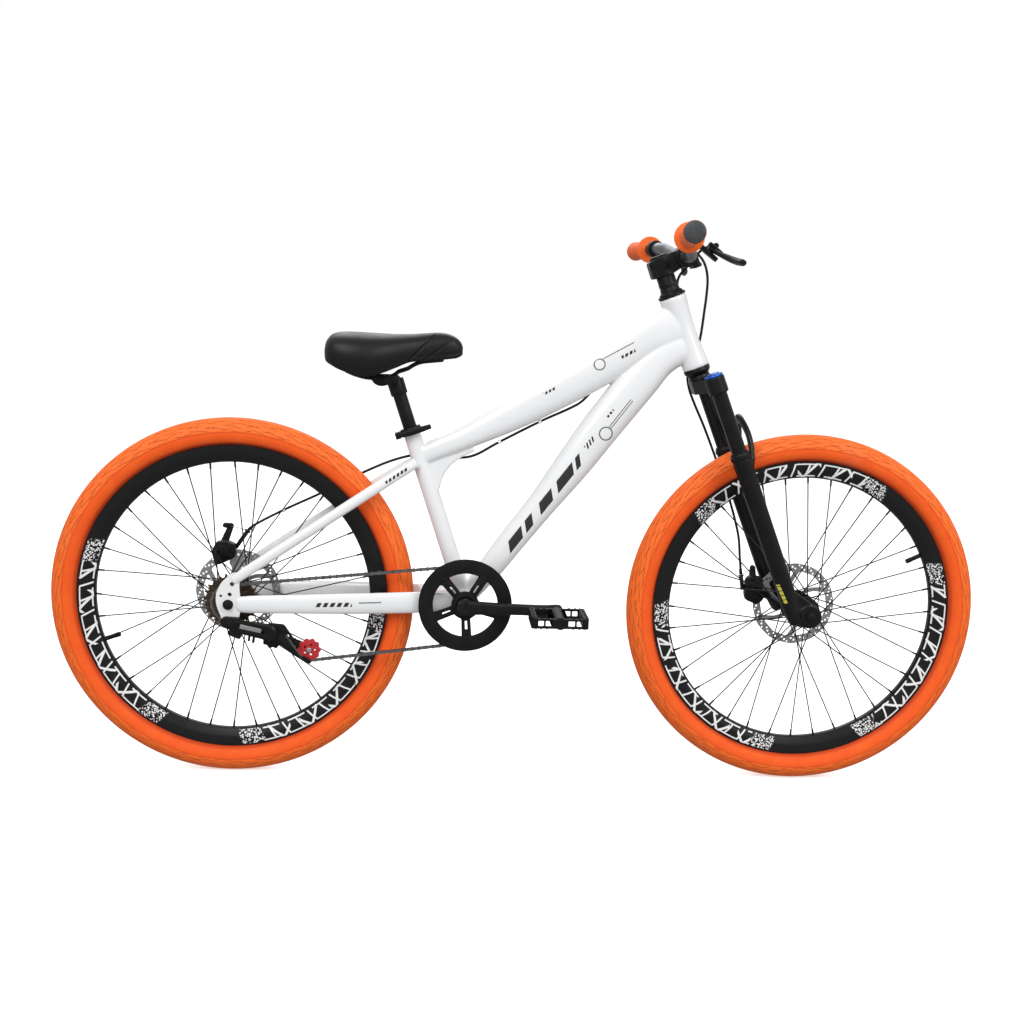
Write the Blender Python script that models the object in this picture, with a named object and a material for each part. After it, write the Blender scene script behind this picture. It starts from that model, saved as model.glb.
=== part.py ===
"""Freeride bicycle: hardtail frame, coil suspension fork, cable disc brakes.

Metres, +Z up, +X towards the front wheel, +Y towards the rider's left.
The origin lies on the ground, midway between the two axles.
"""

import bpy
import bmesh
from math import atan2, ceil, copysign, cos, hypot, pi, radians, sin, sqrt
from mathutils import Vector

# Wheels
WHEELBASE = 1.078
TYRE_RADIUS = 0.336
TYRE_SECTION = 0.027
RIM_EDGE_RADIUS = 0.2865
RIM_DEPTH = 0.0325
RIM_HALF_WIDTH = 0.014
RIM_WALL = 0.0016
RIM_WELL = 0.0065
SPOKE_PAIRS = 9
SPOKE_THICK = 0.0020
SPOKE_SPLAY = 0.0015
SPOKE_LEAN = radians(60)
FLANGE_RADIUS = 0.0300
FLANGE_THICK = 0.0032
HUB_BARREL = 0.0150
AXLE_RADIUS = 0.0050
NUT_RADIUS = 0.0085
NUT_HEIGHT = 0.0090
FRONT_HUB_HALF = 0.0500
REAR_HUB_HALF = 0.0675
FRONT_FLANGES = (-0.0330, 0.0290)
REAR_FLANGES = (-0.0255, 0.0330)
ROTOR_RADIUS = 0.0800
ROTOR_THICK = 0.0020
ROTOR_TRACK = 0.0140
ROTOR_SEAT = 0.0165
FREEWHEEL_BOSS = 0.0160
FREEWHEEL_CORE = 0.0215
FRONT_ROTOR_Y = 0.0440
REAR_ROTOR_Y = 0.0525

# Frame
HEAD_ANGLE = radians(68.0)
SEAT_ANGLE = radians(71.1)
FORK_LENGTH = 0.5062
FORK_OFFSET = 0.0397
CHAINSTAY = 0.4325
BB_RISE = 0.0040
HEAD_LENGTH = 0.1390
HEAD_RADIUS = 0.0248
HEAD_WAIST = 0.0213
HEAD_BORE = 0.0190
SEAT_TUBE_LENGTH = 0.3405
SEAT_TUBE_RADIUS = 0.0159
BB_SHELL_RADIUS = 0.0208
BB_SHELL_HALF = 0.0340
DROPOUT_THICK = 0.0060
STAY_RADIUS = 0.0100

# Fork
LEG_FORWARD = 0.0135
LEG_SPREAD = 0.0654
STANCHION_RADIUS = 0.0140
LOWER_RADIUS = 0.0180
LOWER_FOOT_RADIUS = 0.0165
CROWN_TOP = 0.0205
CROWN_BOTTOM = 0.0520
SEAL_TOP = 0.1680
SEAL_HEIGHT = 0.0120
SEAL_LIP = 0.0012
STANCHION_END = 0.3300
LOWER_BORE_END = 0.4500
STEERER_RADIUS = 0.0143
CUP_STACK = 0.0120
CONE_TOP = 0.1785

# Cockpit
STEM_REACH = 0.0450
STEM_BAR_HEIGHT = 0.2000
STEM_TOP = 0.2165
BAR_RADIUS = 0.0127
BAR_END_RADIUS = 0.0111
GRIP_RADIUS = 0.0165
GRIP_LENGTH = 0.1120
GRIP_FLANGE_RADIUS = 0.0260
BAR_HALF = 0.3147
BARREL_LIFT = 0.0110
BARREL_LENGTH = 0.0260

# Drive
CHAIN_PITCH = 0.0127
RING_TEETH = 36
COG_TEETH = (14, 16, 18, 20, 22, 24)
DRIVE_COG = 1
COG_SPACING = 0.0050
COG_THICK = 0.0020
PULLEY_TEETH = 10
RING_Y = -0.0480
COG_OUTER_Y = -0.0615
CHAIN_HALF_WIDTH = 0.0035
CHAIN_HALF_HEIGHT = 0.0040
CHAIN_WEB = 0.0010
CHAIN_PLATE = 0.0011
TOOTH_DEPTH = 0.0032
GUARD_RADIUS = 0.0870
GUARD_THICK = 0.0025
CRANK_LENGTH = 0.1650
CRANK_Y = 0.0745
BB_AXLE_RADIUS = 0.0085
BB_AXLE_HALF = 0.0640
PEDAL_LENGTH = 0.1020
PEDAL_WIDTH = 0.0880
PEDAL_THICK = 0.0200
PEDAL_TEETH = 5
PEDAL_AXLE_RADIUS = 0.0060
PEDAL_INNER_Y = 0.1020

# Seat
POST_RADIUS = 0.0127
POST_HIDDEN = 0.1700
POST_SHOWN = 0.0905
POST_DROP = 0.0600
RAIL_RADIUS = 0.0035
RAIL_SPREAD = 0.0220
COLLAR_HEIGHT = 0.0130
COLLAR_WALL = 0.0034

# Cables
CABLE_RADIUS = 0.0025
CABLE_SPAN = 0.0420

# Fits
GAP = 0.0003
BORE_GAP = 0.0006
TURN_GAP = 0.0009

ROUND = 12
WHEEL_STEPS = 32

X = Vector((1, 0, 0))
Y = Vector((0, 1, 0))
Z = Vector((0, 0, 1))

REAR_AXLE = Vector((-WHEELBASE / 2, 0, TYRE_RADIUS))
FRONT_AXLE = Vector((WHEELBASE / 2, 0, TYRE_RADIUS))
BB = REAR_AXLE + Vector((CHAINSTAY, 0, BB_RISE))
HEAD_UP = Vector((-cos(HEAD_ANGLE), 0, sin(HEAD_ANGLE)))
HEAD_FORE = Vector((sin(HEAD_ANGLE), 0, cos(HEAD_ANGLE)))
HEAD_BASE = FRONT_AXLE + HEAD_UP * FORK_LENGTH - HEAD_FORE * FORK_OFFSET
SEAT_UP = Vector((-cos(SEAT_ANGLE), 0, sin(SEAT_ANGLE)))
SEAT_FORE = Vector((sin(SEAT_ANGLE), 0, cos(SEAT_ANGLE)))

for old in list(bpy.data.objects):
    bpy.data.objects.remove(old, do_unlink=True)


# Materials


def material(name, colour, roughness, metallic=0.0):
    """A Principled material with one colour."""
    made = bpy.data.materials.new(name)
    made.use_nodes = True
    shader = made.node_tree.nodes["Principled BSDF"]
    shader.inputs["Base Color"].default_value = (*colour, 1.0)
    shader.inputs["Roughness"].default_value = roughness
    shader.inputs["Metallic"].default_value = metallic
    made.diffuse_color = (*colour, 1.0)
    return made


WHITE = material("white paint", (0.86, 0.87, 0.88), 0.25)
BLACK = material("black paint", (0.012, 0.012, 0.013), 0.40)
SATIN = material("satin black metal", (0.020, 0.020, 0.022), 0.45, 0.3)
ORANGE = material("orange rubber", (0.90, 0.16, 0.02), 0.70)
STEEL = material("bare steel", (0.55, 0.55, 0.56), 0.30, 1.0)
BRONZE = material("browned steel", (0.16, 0.12, 0.09), 0.45, 0.9)
GREY = material("graphite grey metal", (0.16, 0.17, 0.18), 0.35, 0.8)
BLUE = material("blue cap", (0.02, 0.10, 0.45), 0.35)
RED = material("red plastic", (0.50, 0.02, 0.03), 0.45)
VINYL = material("black vinyl", (0.016, 0.016, 0.017), 0.50)
PLASTIC = material("black plastic", (0.018, 0.018, 0.018), 0.55)


# Mesh helpers


def finish(name, bm, mat, pivot=None, crease=38.0):
    """Turn a bmesh in world coordinates into an object whose origin is the pivot."""
    bmesh.ops.recalc_face_normals(bm, faces=bm.faces[:])
    mesh = bpy.data.meshes.new(name)
    bm.to_mesh(mesh)
    bm.free()
    return place(name, mesh, mat, pivot, crease)


def place(name, mesh, mat, pivot=None, crease=38.0):
    """Give a world-space mesh its name, material, origin and shading."""
    if pivot is not None:
        for vertex in mesh.vertices:
            vertex.co -= pivot
    mesh.name = name
    mesh.materials.clear()
    mesh.materials.append(mat)
    for face in mesh.polygons:
        face.use_smooth = True
    mesh.set_sharp_from_angle(angle=radians(crease))
    made = bpy.data.objects.new(name, mesh)
    if pivot is not None:
        made.location = pivot
    bpy.context.scene.collection.objects.link(made)
    return made


def bridge(bm, first, second):
    """Join two vertex loops of one length, or a loop and a single point."""
    if len(first) == 1 and len(second) == 1:
        return
    count = max(len(first), len(second))
    for i in range(count):
        j = (i + 1) % count
        corners = []
        for loop, index in ((first, i), (first, j), (second, j), (second, i)):
            vertex = loop[index % len(loop)]
            if vertex not in corners:
                corners.append(vertex)
        bm.faces.new(corners)


def skin(loops, closed=False):
    """A bmesh through a row of loops, its ends capped unless it closes on itself."""
    bm = bmesh.new()
    rows = [[bm.verts.new(point) for point in loop] for loop in loops]
    for first, second in zip(rows, rows[1:]):
        bridge(bm, first, second)
    if closed:
        bridge(bm, rows[-1], rows[0])
    else:
        for row in (rows[0], rows[-1]):
            if len(row) > 2:
                bm.faces.new(row)
    return bm


def square_to(axis):
    """Two unit vectors square to an axis, the first as near to +X as it can be."""
    hint = X if abs(axis.dot(X)) < 0.9 else Z
    side = (hint - axis * hint.dot(axis)).normalized()
    return side, axis.cross(side)


def turned(profile, origin, axis, steps=ROUND, closed=False):
    """Turn a profile of (distance along, radius) about an axis."""
    side, other = square_to(axis)
    loops = []
    for along, radius in profile:
        base = origin + axis * along
        if radius == 0.0:
            loops.append([base])
            continue
        ring = []
        for i in range(steps):
            angle = 2 * pi * i / steps
            ring.append(base + (side * cos(angle) + other * sin(angle)) * radius)
        loops.append(ring)
    return skin(loops, closed)


def rod(start, end, radius, steps=ROUND):
    """A round bar between two points."""
    axis = (end - start).normalized()
    return turned([(0, radius), ((end - start).length, radius)], start, axis, steps)


def lofted(stations, sides=16, power=2.0, across=Y):
    """A tube through stations of (centre, half width across, half height)."""
    centres = [station[0] for station in stations]
    loops = []
    for index, (centre, wide, high) in enumerate(stations):
        before = centres[max(index - 1, 0)]
        after = centres[min(index + 1, len(centres) - 1)]
        along = (after - before).normalized()
        side = (across - along * across.dot(along)).normalized()
        up = along.cross(side)
        ring = []
        for i in range(sides):
            angle = 2 * pi * (i + 0.5) / sides
            c, s = cos(angle), sin(angle)
            c = abs(c) ** (2 / power) * (1 if c > 0 else -1)
            s = abs(s) ** (2 / power) * (1 if s > 0 else -1)
            ring.append(centre + side * (wide * c) + up * (high * s))
        loops.append(ring)
    return skin(loops)


def plate(outline, holes, low, high, origin=Vector((0, 0, 0)), axes=(X, Z, Y)):
    """A flat plate: an outline with holes, drawn on two axes, thick along the third."""
    bm = bmesh.new()
    edges = []
    for loop in [outline] + list(holes):
        ring = []
        for u, v in loop:
            ring.append(bm.verts.new(origin + axes[0] * u + axes[1] * v + axes[2] * low))
        for i, vertex in enumerate(ring):
            edges.append(bm.edges.new((vertex, ring[(i + 1) % len(ring)])))
    bmesh.ops.triangle_fill(bm, edges=edges, use_beauty=True, use_dissolve=False)
    grown = bmesh.ops.extrude_face_region(bm, geom=bm.faces[:])
    moved = [item for item in grown["geom"] if isinstance(item, bmesh.types.BMVert)]
    bmesh.ops.translate(bm, verts=moved, vec=axes[2] * (high - low))
    return bm


def circle(radius, steps=ROUND, centre=(0.0, 0.0), start=0.0):
    """Points round a circle."""
    points = []
    for i in range(steps):
        angle = start + 2 * pi * i / steps
        points.append((centre[0] + radius * cos(angle), centre[1] + radius * sin(angle)))
    return points


def toothed(teeth, radius, depth, start=0.0):
    """A gear outline: a tip at the radius and a root a tooth's depth below, in turn."""
    points = []
    for i in range(teeth):
        for share, reach in ((-0.5, radius - depth), (0.0, radius)):
            angle = start + 2 * pi * (i + share) / teeth
            points.append((reach * cos(angle), reach * sin(angle)))
    return points


def hull_of(discs, steps=6):
    """The outline round a chain of discs of (x, z, radius), as a convex hull."""
    points = []
    for x, z, radius in discs:
        points += circle(radius, steps * 2, (x, z))
    points.sort()
    halves = []
    for order in (points, points[::-1]):
        half = []
        for p in order:
            while len(half) > 1:
                a, b = half[-2], half[-1]
                if (b[0] - a[0]) * (p[1] - a[1]) - (b[1] - a[1]) * (p[0] - a[0]) > 1e-9:
                    break
                half.pop()
            half.append(p)
        halves.append(half[:-1])
    return halves[0] + halves[1]


def helper(bm):
    """A temporary object that only takes part in a union or a cut."""
    made = finish("helper", bm, STEEL)
    made.hide_render = True
    made.display_type = "WIRE"
    return made


def combined(name, base, mat, joins=(), cuts=(), pivot=None, crease=38.0):
    """Join bmeshes to a base and cut others out of it, as one object."""
    whole = helper(base)
    for operation, parts in (("UNION", joins), ("DIFFERENCE", cuts)):
        for part in parts:
            other = helper(part)
            step = whole.modifiers.new("step", "BOOLEAN")
            step.operation = operation
            step.solver = "EXACT"
            step.object = other
            view = bpy.context.evaluated_depsgraph_get()
            mesh = bpy.data.meshes.new_from_object(whole.evaluated_get(view))
            whole.modifiers.clear()
            whole.data = mesh
            bpy.data.objects.remove(other, do_unlink=True)
    mesh = whole.data
    bpy.data.objects.remove(whole, do_unlink=True)
    bm = bmesh.new()
    bm.from_mesh(mesh)
    bmesh.ops.remove_doubles(bm, verts=bm.verts[:], dist=0.00002)
    bmesh.ops.dissolve_degenerate(bm, edges=bm.edges[:], dist=0.00001)
    return finish(name, bm, mat, pivot, crease)


def clear(radius, gap=GAP, steps=ROUND):
    """Radius of a faceted hole whose flats stay a gap clear of a round bar."""
    return (radius + gap) / cos(pi / steps)


def flip(vector, side):
    """A right-hand point kept for side -1 and moved over for side +1."""
    return Vector((vector.x, vector.y * -side, vector.z))


# Wheels


def tyre_profile():
    """Half section of tyre and tube, from the rim well over the bead to the tread."""
    centre = TYRE_RADIUS - TYRE_SECTION
    well = RIM_EDGE_RADIUS - RIM_WELL + GAP
    inner = RIM_HALF_WIDTH - RIM_WALL - GAP
    half = [(inner - 0.0012, well), (inner, RIM_EDGE_RADIUS + 0.0004)]
    for angle in (-38, 12, 55):
        turn = radians(angle)
        half.append((TYRE_SECTION * cos(turn), centre + TYRE_SECTION * sin(turn)))
    other = [(-y, r) for y, r in reversed(half)]
    return half + [(0.0, TYRE_RADIUS)] + other


def rim_profile():
    """Deep rim section with a shallow well for the tyre."""
    apex = RIM_EDGE_RADIUS - RIM_DEPTH
    shoulder = RIM_EDGE_RADIUS - 0.0165
    floor = RIM_EDGE_RADIUS - RIM_WELL
    wall = RIM_HALF_WIDTH - RIM_WALL
    half = [(0.0060, apex), (RIM_HALF_WIDTH, shoulder), (RIM_HALF_WIDTH, RIM_EDGE_RADIUS)]
    half += [(wall, RIM_EDGE_RADIUS), (wall - 0.0010, floor)]
    other = [(-y, r) for y, r in reversed(half)]
    return half + other


def spokes(axle, flanges):
    """All spokes of one wheel: each lies on its flange and crosses three others."""
    bm = bmesh.new()
    pitch = 2 * pi / (4 * SPOKE_PAIRS)
    hub = FLANGE_RADIUS - 0.0040
    end = (RIM_EDGE_RADIUS - RIM_DEPTH) * cos(pi / WHEEL_STEPS) - 2 * GAP
    half = SPOKE_THICK / 2
    for side, flange in enumerate(flanges):
        for index in range(2 * SPOKE_PAIRS):
            outside = 1 if index % 2 else -1
            rim_angle = pitch * (2 * index + side)
            hole_angle = rim_angle + SPOKE_LEAN * outside
            hub_dir = X * cos(hole_angle) + Z * sin(hole_angle)
            rim_dir = X * cos(rim_angle) + Z * sin(rim_angle)
            root = axle + hub_dir * hub + Y * (flange + outside * (FLANGE_THICK / 2 + half * 0.3))
            tip = axle + rim_dir * end + Y * copysign(SPOKE_SPLAY, flange)
            run = (tip - root).normalized()
            wide = run.cross(Y).normalized() * half
            deep = wide.cross(run)
            rows = []
            for point in (root, tip):
                corners = (-wide - deep * 0.6, wide - deep * 0.6, deep * 1.1)
                rows.append([bm.verts.new(point + corner) for corner in corners])
            bridge(bm, rows[0], rows[1])
            bm.faces.new(rows[0])
            bm.faces.new(rows[1])
    return bm


def wheel(name, axle, half, flanges, rotor_y, barrel_right):
    """Tyre, rim, hub with spokes and brake rotor of one wheel."""
    tyre = turned(tyre_profile(), axle, Y, WHEEL_STEPS, True)
    finish(name + "_tyre", tyre, ORANGE, axle)
    finish(name + "_rim", turned(rim_profile(), axle, Y, WHEEL_STEPS, True), BLACK, axle)
    right, left = flanges
    thick = FLANGE_THICK / 2
    bore = AXLE_RADIUS + BORE_GAP
    end = half - 0.0035
    profile = [(-end, bore), (-end, barrel_right), (right - thick, barrel_right),
               (right - thick, FLANGE_RADIUS), (right + thick, FLANGE_RADIUS),
               (right + thick, HUB_BARREL), (left - thick, HUB_BARREL),
               (left - thick, FLANGE_RADIUS), (left + thick, FLANGE_RADIUS),
               (left + thick, ROTOR_SEAT), (end, ROTOR_SEAT), (end, bore)]
    hub = turned(profile, axle, Y, ROUND, True)
    combined(name + "_hub_and_spokes", hub, BLACK, [spokes(axle, flanges)], (), axle, 30)
    windows = []
    for arm in range(6):
        base = 2 * pi * arm / 6
        inner, outer = 0.0245, ROTOR_RADIUS - ROTOR_TRACK
        window = []
        for radius, twist, span in ((inner, -0.35, 0.34), (outer, 0.0, 0.42)):
            for share in ((-1, 1) if radius == inner else (1, 0, -1)):
                angle = base + twist + span * share
                window.append((radius * cos(angle), radius * sin(angle)))
        windows.append(window)
    outline = circle(ROTOR_RADIUS, 24)
    disc = plate(outline, windows + [circle(ROTOR_SEAT + GAP, ROUND)], rotor_y - ROTOR_THICK / 2,
                 rotor_y + ROTOR_THICK / 2, axle)
    finish(name + "_rotor", disc, STEEL, axle)
    nut = half + DROPOUT_THICK + 2 * GAP if name == "rear" else half + 0.0260
    shank = AXLE_RADIUS
    reach = nut + NUT_HEIGHT
    collar = end + 2 * GAP
    rod_profile = [(-reach, NUT_RADIUS), (-nut, NUT_RADIUS), (-nut, shank), (-half, shank),
                   (-half, NUT_RADIUS), (-collar, NUT_RADIUS), (-collar, shank), (collar, shank),
                   (collar, NUT_RADIUS), (half, NUT_RADIUS), (half, shank), (nut, shank),
                   (nut, NUT_RADIUS), (reach, NUT_RADIUS)]
    finish(name + "_axle", turned(rod_profile, axle, Y, 8), SATIN, axle, 30)


wheel("front", FRONT_AXLE, FRONT_HUB_HALF, FRONT_FLANGES, FRONT_ROTOR_Y, 0.0125)
wheel("rear", REAR_AXLE, REAR_HUB_HALF, REAR_FLANGES, REAR_ROTOR_Y, FREEWHEEL_BOSS)


# Front frame


def on_head(s, fore, y=0.0):
    """A point by distance up the steering axis, forward of it and to the left."""
    return HEAD_BASE + HEAD_UP * s + HEAD_FORE * fore + Y * y


def on_seat(s, fore, y=0.0):
    """A point by distance up the seat tube from the bottom bracket."""
    return BB + SEAT_UP * s + SEAT_FORE * fore + Y * y


mid_head = HEAD_LENGTH / 2
head_tube = turned([(0, HEAD_RADIUS), (0.012, HEAD_RADIUS), (0.030, 0.0228), (mid_head, HEAD_WAIST),
                    (HEAD_LENGTH - 0.030, 0.0228), (HEAD_LENGTH - 0.010, HEAD_RADIUS),
                    (HEAD_LENGTH, HEAD_RADIUS)], HEAD_BASE, HEAD_UP, ROUND)
seat_tube = turned([(-0.010, SEAT_TUBE_RADIUS), (SEAT_TUBE_LENGTH, SEAT_TUBE_RADIUS)], BB,
                   SEAT_UP, ROUND)
bb_shell = turned([(-BB_SHELL_HALF, BB_SHELL_RADIUS), (BB_SHELL_HALF, BB_SHELL_RADIUS)], BB, Y, ROUND)
top_tube = lofted([
    (on_seat(0.2760, -0.0020), 0.0130, 0.0160),
    (on_seat(0.2860, 0.0180), 0.0150, 0.0190),
    (Vector((-0.1142, 0, 0.6473)), 0.0180, 0.0218),
    (Vector((-0.0377, 0, 0.6870)), 0.0200, 0.0285),
    (Vector((0.0369, 0, 0.7282)), 0.0215, 0.0320),
    (Vector((0.1115, 0, 0.7712)), 0.0232, 0.0335),
    (Vector((0.1857, 0, 0.8196)), 0.0240, 0.0350),
    (Vector((0.2210, 0, 0.8440)), 0.0236, 0.0360),
    (on_head(0.0870, -0.0140), 0.0215, 0.0400),
    (on_head(0.0910, 0.0020), 0.0150, 0.0380),
], 12, 2.4)
down_tube = lofted([
    (BB + Vector((0.0040, 0, 0.0060)), 0.0200, 0.0170),
    (Vector((-0.0555, 0, 0.4070)), 0.0228, 0.0228),
    (Vector((-0.0236, 0, 0.4509)), 0.0237, 0.0245),
    (Vector((0.0318, 0, 0.5239)), 0.0250, 0.0264),
    (Vector((0.0897, 0, 0.6037)), 0.0262, 0.0328),
    (Vector((0.1452, 0, 0.6823)), 0.0268, 0.0362),
    (Vector((0.2027, 0, 0.7570)), 0.0262, 0.0365),
    (Vector((0.2402, 0, 0.8013)), 0.0235, 0.0332),
    (on_head(0.0455, -0.0150), 0.0215, 0.0292),
    (on_head(0.0470, 0.0020), 0.0150, 0.0260),
], 12, 2.4)
gusset = lofted([
    (on_head(0.0560, -0.0100), 0.0170, 0.0250),
    (Vector((0.245, 0, 0.8230)), 0.0185, 0.0260),
    (Vector((0.205, 0, 0.7920)), 0.0185, 0.0220),
    (Vector((0.181, 0, 0.7740)), 0.0150, 0.0120),
], 8, 2.2)
seat_web = plate([(-0.190, 0.590), (-0.1640, 0.5430), (-0.1590, 0.5520), (-0.1545, 0.5700),
                  (-0.1490, 0.5830), (-0.1370, 0.5980), (-0.1190, 0.6110), (-0.0950, 0.6230),
                  (-0.1200, 0.6450)], [], -0.0075, 0.0075)
post_bore = turned([(SEAT_TUBE_LENGTH - POST_HIDDEN - POST_DROP - 0.0030, POST_RADIUS + GAP),
                    (SEAT_TUBE_LENGTH + 0.0100, POST_RADIUS + GAP)], BB, SEAT_UP, ROUND)
head_bore = turned([(-0.0100, HEAD_BORE), (HEAD_LENGTH + 0.0100, HEAD_BORE)], HEAD_BASE, HEAD_UP, ROUND)
bb_bore = turned([(-0.0500, BB_AXLE_RADIUS + 0.0010), (0.0500, BB_AXLE_RADIUS + 0.0010)], BB, Y, ROUND)
combined("front_frame", head_tube, WHITE,
         [down_tube, top_tube, gusset, seat_tube, bb_shell, seat_web],
         [post_bore, head_bore, bb_bore], None, 35)


# Rear stays and dropouts

DROP_Y = REAR_HUB_HALF + GAP


def stays(side):
    """One chainstay, one seatstay and their dropout, placed from the rear axle, as a welded half."""
    def at(forward, out, up):
        return flip(REAR_AXLE + Vector((forward, -out, up)), side)
    stay_y = DROP_Y + DROPOUT_THICK / 2
    chainstay = lofted([
        (at(0.0160, stay_y, 0.0), 0.0050, 0.0140),
        (at(0.0450, stay_y - 0.0008, 0.0005), 0.0068, 0.0165),
        (at(0.1390, 0.0650, 0.0020), 0.0080, 0.0180),
        (at(0.2390, 0.0545, 0.0030), 0.0082, 0.0195),
        (at(0.3590, 0.0345, 0.0040), 0.0082, 0.0200),
        (at(0.4210, 0.0235, 0.0040), 0.0082, 0.0165),
    ], 8, 2.3)
    seatstay = lofted([
        (at(0.0090, stay_y, 0.0430), 0.0050, 0.0080),
        (at(0.0340, stay_y - 0.0006, 0.0620), 0.0066, 0.0096),
        (at(0.1290, 0.0620, 0.1270), STAY_RADIUS * 0.88, STAY_RADIUS),
        (at(0.2390, 0.0470, 0.2010), STAY_RADIUS * 0.88, STAY_RADIUS),
        (at(0.3010, 0.0300, 0.2420), STAY_RADIUS * 0.88, STAY_RADIUS),
        (at(0.3440, 0.0130, 0.2700), STAY_RADIUS * 0.88, STAY_RADIUS),
    ], 8)
    outline = [(-0.0150, 0.0400), (-0.0270, 0.0200), (-0.0265, 0.0), (-0.0180, -0.0170)]
    if side < 0:
        outline += [(-0.0110, -0.0300), (-0.0050, -0.0400), (0.0060, -0.0440), (0.0170, -0.0390),
                    (0.0200, -0.0280)]
    else:
        outline += [(-0.0050, -0.0240), (0.0100, -0.0250)]
    outline += [(0.0290, -0.0130), (0.0340, -0.0060), (0.0340, 0.0070), (0.0270, 0.0200),
                (0.0240, 0.0400), (0.0270, 0.0570), (0.0090, 0.0600)]
    if side > 0:
        outline += [(-0.0050, 0.0630), (-0.0170, 0.0600), (-0.0210, 0.0500)]
    outline = [(REAR_AXLE.x + forward, REAR_AXLE.z + up) for forward, up in outline]
    axle_hole = circle(AXLE_RADIUS + BORE_GAP, 12, (REAR_AXLE.x, REAR_AXLE.z))
    holes = [axle_hole]
    for forward, up, radius in ((0.0070, 0.0380, 0.0042), (0.0030, 0.0190, 0.0038), (-0.0130, 0.0160, 0.0026)):
        holes.append(circle(radius, 8, (REAR_AXLE.x + forward, REAR_AXLE.z + up)))
    low, high = (-DROP_Y - DROPOUT_THICK, -DROP_Y) if side < 0 else (DROP_Y, DROP_Y + DROPOUT_THICK)
    dropout = plate(outline, holes, low, high)
    shell_cut = turned([(-0.0600, BB_SHELL_RADIUS + GAP), (0.0600, BB_SHELL_RADIUS + GAP)], BB, Y, ROUND)
    tube_cut = turned([(-0.020, SEAT_TUBE_RADIUS + GAP), (0.4000, SEAT_TUBE_RADIUS + GAP)],
                      BB, SEAT_UP, ROUND)
    middle = plate([(-0.30, 0.20), (0.0, 0.20), (0.0, 0.70), (-0.30, 0.70)], [],
                   *((-0.0006, 0.0600) if side < 0 else (-0.0600, 0.0006)))
    name = "right_rear_stays" if side < 0 else "left_rear_stays"
    combined(name, dropout, WHITE, [chainstay, seatstay], [tube_cut, shell_cut, middle], None, 35)


stays(-1)
stays(1)


# Headset

CUP_BORE = STEERER_RADIUS + TURN_GAP
upper = [(HEAD_LENGTH - 0.0120, CUP_BORE), (HEAD_LENGTH - 0.0120, HEAD_BORE - GAP),
         (HEAD_LENGTH + GAP, HEAD_BORE - GAP), (HEAD_LENGTH + GAP, HEAD_RADIUS + 0.0010),
         (HEAD_LENGTH + 0.0048, HEAD_RADIUS + 0.0010), (HEAD_LENGTH + 0.0048, CUP_BORE)]
finish("headset_upper_cup", turned(upper, HEAD_BASE, HEAD_UP, ROUND, True), SATIN)
lower = [(0.0120, CUP_BORE), (0.0120, HEAD_BORE - GAP), (-GAP, HEAD_BORE - GAP), (-GAP, HEAD_RADIUS),
         (-CUP_STACK * 0.5, HEAD_RADIUS), (-CUP_STACK, 0.0215), (-CUP_STACK, CUP_BORE)]
finish("headset_lower_cup", turned(lower, HEAD_BASE, HEAD_UP, ROUND, True), SATIN)
cone = [(HEAD_LENGTH + 0.0051, CUP_BORE), (HEAD_LENGTH + 0.0051, 0.0225), (HEAD_LENGTH + 0.0090, 0.0205),
        (HEAD_LENGTH + 0.0110, 0.0180), (CONE_TOP - 0.0060, 0.0170), (CONE_TOP, 0.0170),
        (CONE_TOP, CUP_BORE)]
finish("headset_cone_spacer", turned(cone, HEAD_BASE, HEAD_UP, ROUND, True), SATIN, HEAD_BASE)


# Fork: crown, steerer, stanchions and caps

boss = STANCHION_RADIUS + 0.0045
crown_half = [(-0.0210, 0.0), (-0.0205, 0.0180), (-0.0120, 0.0380)]
back = crown_half + [(LEG_FORWARD - boss * cos(radians(a)), LEG_SPREAD + boss * sin(radians(a)))
                     for a in (-20, 10, 40, 70, 100, 130, 160, 190)]
front = [(0.0250, 0.0400), (0.0250, 0.0)]
half_outline = back + front
full_outline = half_outline + [(u, -v) for u, v in reversed(half_outline[1:-1])]
stanchion_holes = [circle(STANCHION_RADIUS + GAP, ROUND, (LEG_FORWARD, side * LEG_SPREAD))
                   for side in (-1, 1)]
crown = plate(full_outline, stanchion_holes, -CROWN_BOTTOM, -CROWN_TOP, HEAD_BASE,
              (HEAD_FORE, Y, HEAD_UP))
crown_boss = turned([(-CROWN_TOP - 0.0200, 0.0200), (-CUP_STACK - GAP, 0.0200)], HEAD_BASE, HEAD_UP, ROUND)
combined("fork_crown", crown, BLACK, [crown_boss], (), HEAD_BASE, 35)
finish("steerer_tube", turned([(-CUP_STACK, STEERER_RADIUS), (STEM_TOP - 0.0040, STEERER_RADIUS)],
                              HEAD_BASE, HEAD_UP, ROUND), STEEL, HEAD_BASE)
for side, word in ((-1, "right"), (1, "left")):
    base = on_head(0, LEG_FORWARD, side * LEG_SPREAD)
    tube = turned([(-STANCHION_END, STANCHION_RADIUS), (-CROWN_TOP, STANCHION_RADIUS)], base, HEAD_UP, ROUND)
    finish(word + "_stanchion", tube, SATIN, HEAD_BASE)
    cap_profile = [(-CROWN_TOP + GAP, boss - 0.0012), (-CROWN_TOP + 0.0045, boss - 0.0012),
                   (-CROWN_TOP + 0.0070, boss - 0.0040)]
    cap = turned(cap_profile, base, HEAD_UP, ROUND)
    if side < 0:
        finish("preload_cap", cap, BLUE, HEAD_BASE)
    else:
        finish("left_leg_cap", cap, SATIN, HEAD_BASE)


# Fork lowers with arch, drop-outs and brake mount

LOWER_TOP = SEAL_TOP + SEAL_HEIGHT + GAP
LOWER_BORE = STANCHION_RADIUS + 0.0008


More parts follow.
